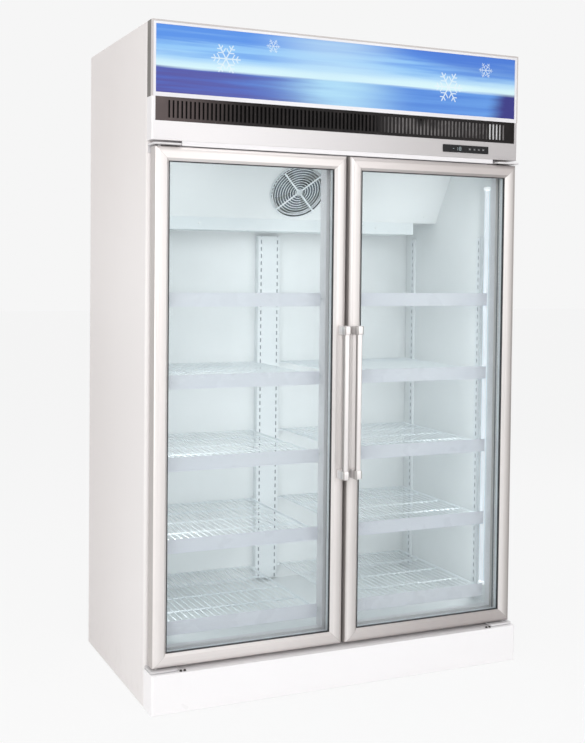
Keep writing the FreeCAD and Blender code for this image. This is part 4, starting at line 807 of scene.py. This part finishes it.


# Lamps: a slim lamp stands in each front corner, a frosted round cover on a white base with a cap at each end.
# The cover glows softly, and slim studio lamps inside the cabinet stand in for its light on the walls.
# The white caps glow too, as a painted highlight.
lamp_cover = lit("lamp_cover", srgb(240, 244, 250), 0.34)
# The caps are not lamps: their glow is a painted highlight.
glowing_cap = lit("lamp_cap_white", srgb(248, 250, 252), 0.5)
LAMP_X, COVER_HALF_W, COVER_FRONT, COVER_REAR = 0.568, 0.0055, -0.2425, -0.2245
CAP_HALF_W, CAP_FRONT, CAP_REAR, CAP_H = 0.007, -0.243, -0.223, 0.012
low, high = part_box("led_lamps")
for side, middle, stands_for in (("left", -LAMP_X, ["led_lamps"]), ("right", LAMP_X, [])):
    left, right = middle - COVER_HALF_W, middle + COVER_HALF_W
    tube = bmesh.new()
    add_block(tube, (left, COVER_FRONT, low.z + CAP_H), (right, COVER_REAR, high.z - CAP_H), 0.005, 4)
    add_piece(f"lamp_cover_{side}", tube, lamp_cover, "cabinet", "lamp", *stands_for, soft_angle=40)
    left, right = middle - CAP_HALF_W, middle + CAP_HALF_W
    caps = bmesh.new()
    for foot in (low.z, high.z - CAP_H):
        add_block(caps, (left, CAP_FRONT, foot), (right, CAP_REAR, foot + CAP_H), 0.0025, 3)
    add_piece(f"lamp_caps_{side}", caps, glowing_cap, "cabinet", "lamp", soft_angle=40)


# Door frames: extruded aluminium, anodised a pale champagne, cut at 45 degrees and keyed at the corners.
# The die's drawing lines run along each bar and a hairline joint shows at each mitre. A black seal runs round
# the glass, a bright spacer holds the panes apart, and a grey magnetic gasket lies behind. Painted light lies
# on the bars: a highlight on the inner part of each stile, shade towards its outer edge and along the foot,
# darker bars towards the right, and shade on the outer flanks.
BAR_FACE, JOINT_HALF_W, FLANK_SHADE_W = 0.042, 0.00035, 0.0013
for side in ("left", "right"):
    low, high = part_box(f"door_{side}_frame")
    metal, place = start(f"door_aluminium_{side}")
    x, z = place.axis("X"), place.axis("Z")
    from_side = x.maths("MINIMUM", x - low.x, high.x - x)
    from_end = z.maths("MINIMUM", z - low.z, high.z - z)
    stile = from_side < from_end
    joint = abs(from_side - from_end) < JOINT_HALF_W
    upright = noise(place, 260, 2, (1, 1, 0.012))
    level_lines = noise(place, 260, 2, (0.012, 1, 1))
    lines = stile * upright + (1 - stile) * level_lines
    tone = (lines * 0.5 + noise(place, 3, 2) * 0.5).smooth(0.25, 0.75)
    right_bar = x > (low.x + high.x) / 2
    across_bar = (x - low.x - right_bar * (high.x - low.x - BAR_FACE)) / BAR_FACE
    # Painted highlight and shade: stiles are bright at their inner part and darker outward, and bars darken to
    # the right.
    stile_shade_to_right = x.smooth(-0.8, 0.8).tint(srgb(222, 216, 214), srgb(150, 144, 141))
    stile_highlight_and_shade = across_bar.smooth(-0.2, 1.0).tint(srgb(247, 242, 240), stile_shade_to_right)
    rail_shade_to_right = x.smooth(-0.45, 0.5).tint(srgb(232, 226, 224), srgb(180, 173, 171))
    # Painted shade along the foot of the frame, mixed with the tone of the drawing lines.
    foot_edge_shade = (1 - (z - low.z).smooth(0.003, 0.03)) * 0.12
    lines_and_shade = (foot_edge_shade + (1 - tone) * 0.1).tint(stile.tint(rail_shade_to_right, stile_highlight_and_shade), srgb(150, 144, 141))
    # Painted shade on the thin outer flanks of the frame.
    anodised_and_shaded = ((from_side < FLANK_SHADE_W) * 0.85).tint(lines_and_shade, srgb(180, 174, 171))
    close(place, {
        "Base Color": (joint * 0.55).tint(anodised_and_shaded, srgb(112, 106, 104)),
        "Metallic": 0.3,
        "Roughness": lines * 0.12 + 0.3,
        "Normal": bump(place, lines, 0.00002),
    })
    dress(metal, f"door_{side}_frame")

GASKET_FRONT, SPACER_FRONT, SPACER_REAR = -0.2935, -0.3162, -0.3028
door_seal, place = start("door_seal")
y = place.axis("Y")
soft = noise(place, 40, 3)
black_seal = soft.tint(srgb(36, 36, 38), srgb(54, 54, 56))
grey_gasket = soft.tint(srgb(120, 120, 122), srgb(142, 142, 144))
seal_grey = (y > GASKET_FRONT).tint(black_seal, grey_gasket)
spacer = (y > SPACER_FRONT) * (y < SPACER_REAR)
close(place, {
    "Base Color": spacer.tint(seal_grey, srgb(214, 216, 218)),
    "Metallic": spacer * 0.5,
    "Roughness": soft * 0.1 + 0.5 - spacer * 0.12,
    "Normal": bump(place, noise(place, 700, 1), 0.00003),
})
dress(door_seal, "door_left_seals", "door_right_seals")


# Door glass: a sealed unit of two clear panes. It is faintly blue green, reflects at its surfaces, and lets
# the light of the room and the lamps through.
glass, place = start("sealed_glass")
clear = place.node("BsdfTransparent", sockets={"Color": srgb(254, 255, 255)})
shine = place.node("BsdfPrincipled", sockets={
    "Base Color": srgb(236, 246, 250), "Roughness": noise(place, 3, 2) * 0.03 + 0.02, "Specular IOR Level": 0.5,
})
mirror_share = place.node("Fresnel", sockets={"IOR": 1.45})
surface = place.node("MixShader", sockets={0: mirror_share * 0.35, 1: clear, 2: shine})
place.node("OutputMaterial", sockets={"Surface": surface})
dress(glass, "door_left_glass", "door_right_glass")


# Handles: a flat oval aluminium bar between two end brackets, anodised like the doors, with painted shade
# on its flanks. Screws hold it through the meeting stile from behind, so none of them shows.
HANDLE_X, FLANK_REAR, BAR_SIDE = 0.0215, -0.3635, 0.0097
handle_metal, place = start("handle_aluminium")
drawn = noise(place, 300, 2, (1, 1, 0.01))
from_middle = abs(abs(place.axis("X")) - HANDLE_X)
ahead_of_door = place.axis("Y") < FLANK_REAR
# Painted shade: the flanks of the bar and the sides of the brackets are darker.
sides = from_middle.smooth(0.0055, 0.0085) * ahead_of_door * (0.8 - (from_middle > BAR_SIDE) * 0.4)
close(place, {
    "Base Color": sides.tint(drawn.tint(srgb(222, 217, 216), srgb(238, 234, 233)), srgb(126, 120, 116)),
    "Metallic": 0.3,
    "Roughness": drawn * 0.12 + 0.26,
    "Normal": bump(place, drawn, 0.000015),
})
BAR_HALF_W, BAR_FRONT, BAR_REAR, BAR_INSET = 0.0095, -0.378, -0.365, 0.02
BRACKET_HALF_W, BRACKET_FRONT, BRACKET_SEAT, BRACKET_H = 0.0115, -0.3815, -0.3335, 0.028
for side in ("left", "right"):
    door, node = f"door_{side}", f"door_{side}_handle"
    low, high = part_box(node)
    middle = (low.x + high.x) / 2
    left, right = middle - BAR_HALF_W, middle + BAR_HALF_W
    grip = bmesh.new()
    add_block(grip, (left, BAR_FRONT, low.z + BAR_INSET), (right, BAR_REAR, high.z - BAR_INSET), 0.0055, 5)
    add_piece(f"handle_bar_{side}", grip, handle_metal, door, "handle_aluminium", node, soft_angle=40)
    left, right = middle - BRACKET_HALF_W, middle + BRACKET_HALF_W
    ends = bmesh.new()
    for foot in (low.z, high.z - BRACKET_H):
        add_block(ends, (left, BRACKET_FRONT, foot), (right, BRACKET_SEAT, foot + BRACKET_H), 0.0045, 4)
    add_piece(f"handle_ends_{side}", ends, handle_metal, door, "handle_aluminium", soft_angle=40)


# Hinges: bent steel plates on the front frame, above and below each door, in pale grey paint.
# Each has a pin that stands in the door's outer corner, and the door hangs between its two.
dress(paint("hinge_steel", srgb(206, 204, 205), srgb(228, 226, 227), 0.35), "hinge_brackets")


# Studio: a plain pale floor and backdrop, which show as a clean pale grey, also through glass and in metal.
# Large soft lamps stand in front, at both sides and above, and three slim ones inside the cabinet, beside its
# own lamps and behind the mullion. The camera stands at the photo's angle.
BACKDROP, FLOOR_GLOW = srgb(246, 246, 246), srgb(251, 251, 251)
floor_shape = bmesh.new()
bmesh.ops.create_grid(floor_shape, x_segments=1, y_segments=1, size=30)
floor_mesh = bpy.data.meshes.new("floor")
floor_shape.to_mesh(floor_mesh)
floor_shape.free()
floor = add_object("floor", floor_mesh)
floor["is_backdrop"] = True
floor_white = bpy.data.materials.new("floor_white")
ground = empty_tree(floor_white)
seen = ground.node("LightPath", output="Is Camera Ray") * 0.9
card = ground.node("BsdfDiffuse", sockets={"Color": srgb(240, 240, 240)})
glow = ground.node("Emission", sockets={"Color": FLOOR_GLOW, "Strength": 1.0})
floor_shader = ground.node("MixShader", sockets={0: seen, 1: card, 2: glow})
ground.node("OutputMaterial", sockets={"Surface": floor_shader})
floor_mesh.materials.append(floor_white)

world = bpy.data.worlds.new("studio")
bpy.context.scene.world = world
air = empty_tree(world)
shown_to = ("Is Camera Ray", "Is Glossy Ray", "Is Transmission Ray")
camera_ray, glossy_ray, passing_ray = (air.node("LightPath", output=name) for name in shown_to)
shown = air.maths("MAXIMUM", camera_ray, air.maths("MAXIMUM", glossy_ray, passing_ray))
sky_light = air.node("Background", sockets={"Color": (1, 1, 1), "Strength": 0.45})
backdrop = air.node("Background", sockets={"Color": BACKDROP, "Strength": 1.0})
surroundings = air.node("MixShader", sockets={0: shown, 1: sky_light, 2: backdrop})
air.node("OutputWorld", sockets={"Surface": surroundings})


def add_lamp(name, at, towards, size, power):
    """A soft lamp with a rectangular face."""
    light = bpy.data.lights.new(name, "AREA")
    light.shape, light.size, light.size_y, light.energy = "RECTANGLE", *size, power
    made = add_object(name, light)
    made.location = at
    made.rotation_euler = (Vector(towards) - Vector(at)).to_track_quat("-Z", "Y").to_euler()


add_lamp("key_light", (-2.2, -3.6, 2.6), (0, 0, 1.0), (2.6, 2.6), 72)
add_lamp("front_fill", (1.8, -4.2, 1.5), (0, 0, 0.9), (2.4, 2.4), 40)
add_lamp("side_fill", (-4.4, 0.2, 1.6), (-0.6, 0, 1.0), (2.2, 2.6), 46)
add_lamp("top_light", (0, -0.4, 4.2), (0, 0, 1.5), (2.6, 2.0), 29)
add_lamp("right_fill", (4.4, 1.0, 1.6), (0.6, 0.1, 1.0), (2.2, 2.6), 26)
SLIM = (0.02, 1.3)
for side in (-1, 1):
    add_lamp(f"cabinet_lamp_{side}", (side * 0.535, -0.23, 0.9), (-side * 0.1, 0.32, 0.9), SLIM, 1.3)
add_lamp("cabinet_lamp_0", (0, -0.22, 0.9), (0, 0.32, 0.9), SLIM, 0.6)

IMAGE_W, IMAGE_H, SENSOR = 585, 743, 36
FOCAL_PX, EYE = 1158.696, Vector((-1.600199, -3.524257, 1.291860))
YAW, PITCH, ROLL, CENTRE_X, CENTRE_Y = 0.4361, 0.03346, 0.01121, 314.502, 308.156
ahead = Vector((math.sin(YAW) * math.cos(PITCH), math.cos(YAW) * math.cos(PITCH), -math.sin(PITCH)))
flat_right = Vector((math.cos(YAW), -math.sin(YAW), 0))
flat_up = flat_right.cross(ahead)
right = flat_right * math.cos(ROLL) + flat_up * math.sin(ROLL)
up = flat_up * math.cos(ROLL) - flat_right * math.sin(ROLL)
camera = add_object("camera", bpy.data.cameras.new("camera"))
bpy.context.scene.camera = camera
camera.matrix_world = Matrix.Translation(EYE) @ Matrix((right, up, -ahead)).transposed().to_4x4()
camera.data.sensor_width = SENSOR
camera.data.lens = FOCAL_PX / IMAGE_H * SENSOR
camera.data.shift_x = (IMAGE_W / 2 - CENTRE_X) / IMAGE_H
camera.data.shift_y = (CENTRE_Y - IMAGE_H / 2) / IMAGE_H
camera.data.clip_end = 100
bpy.context.scene.view_settings.view_transform = "Standard"

low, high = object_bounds()
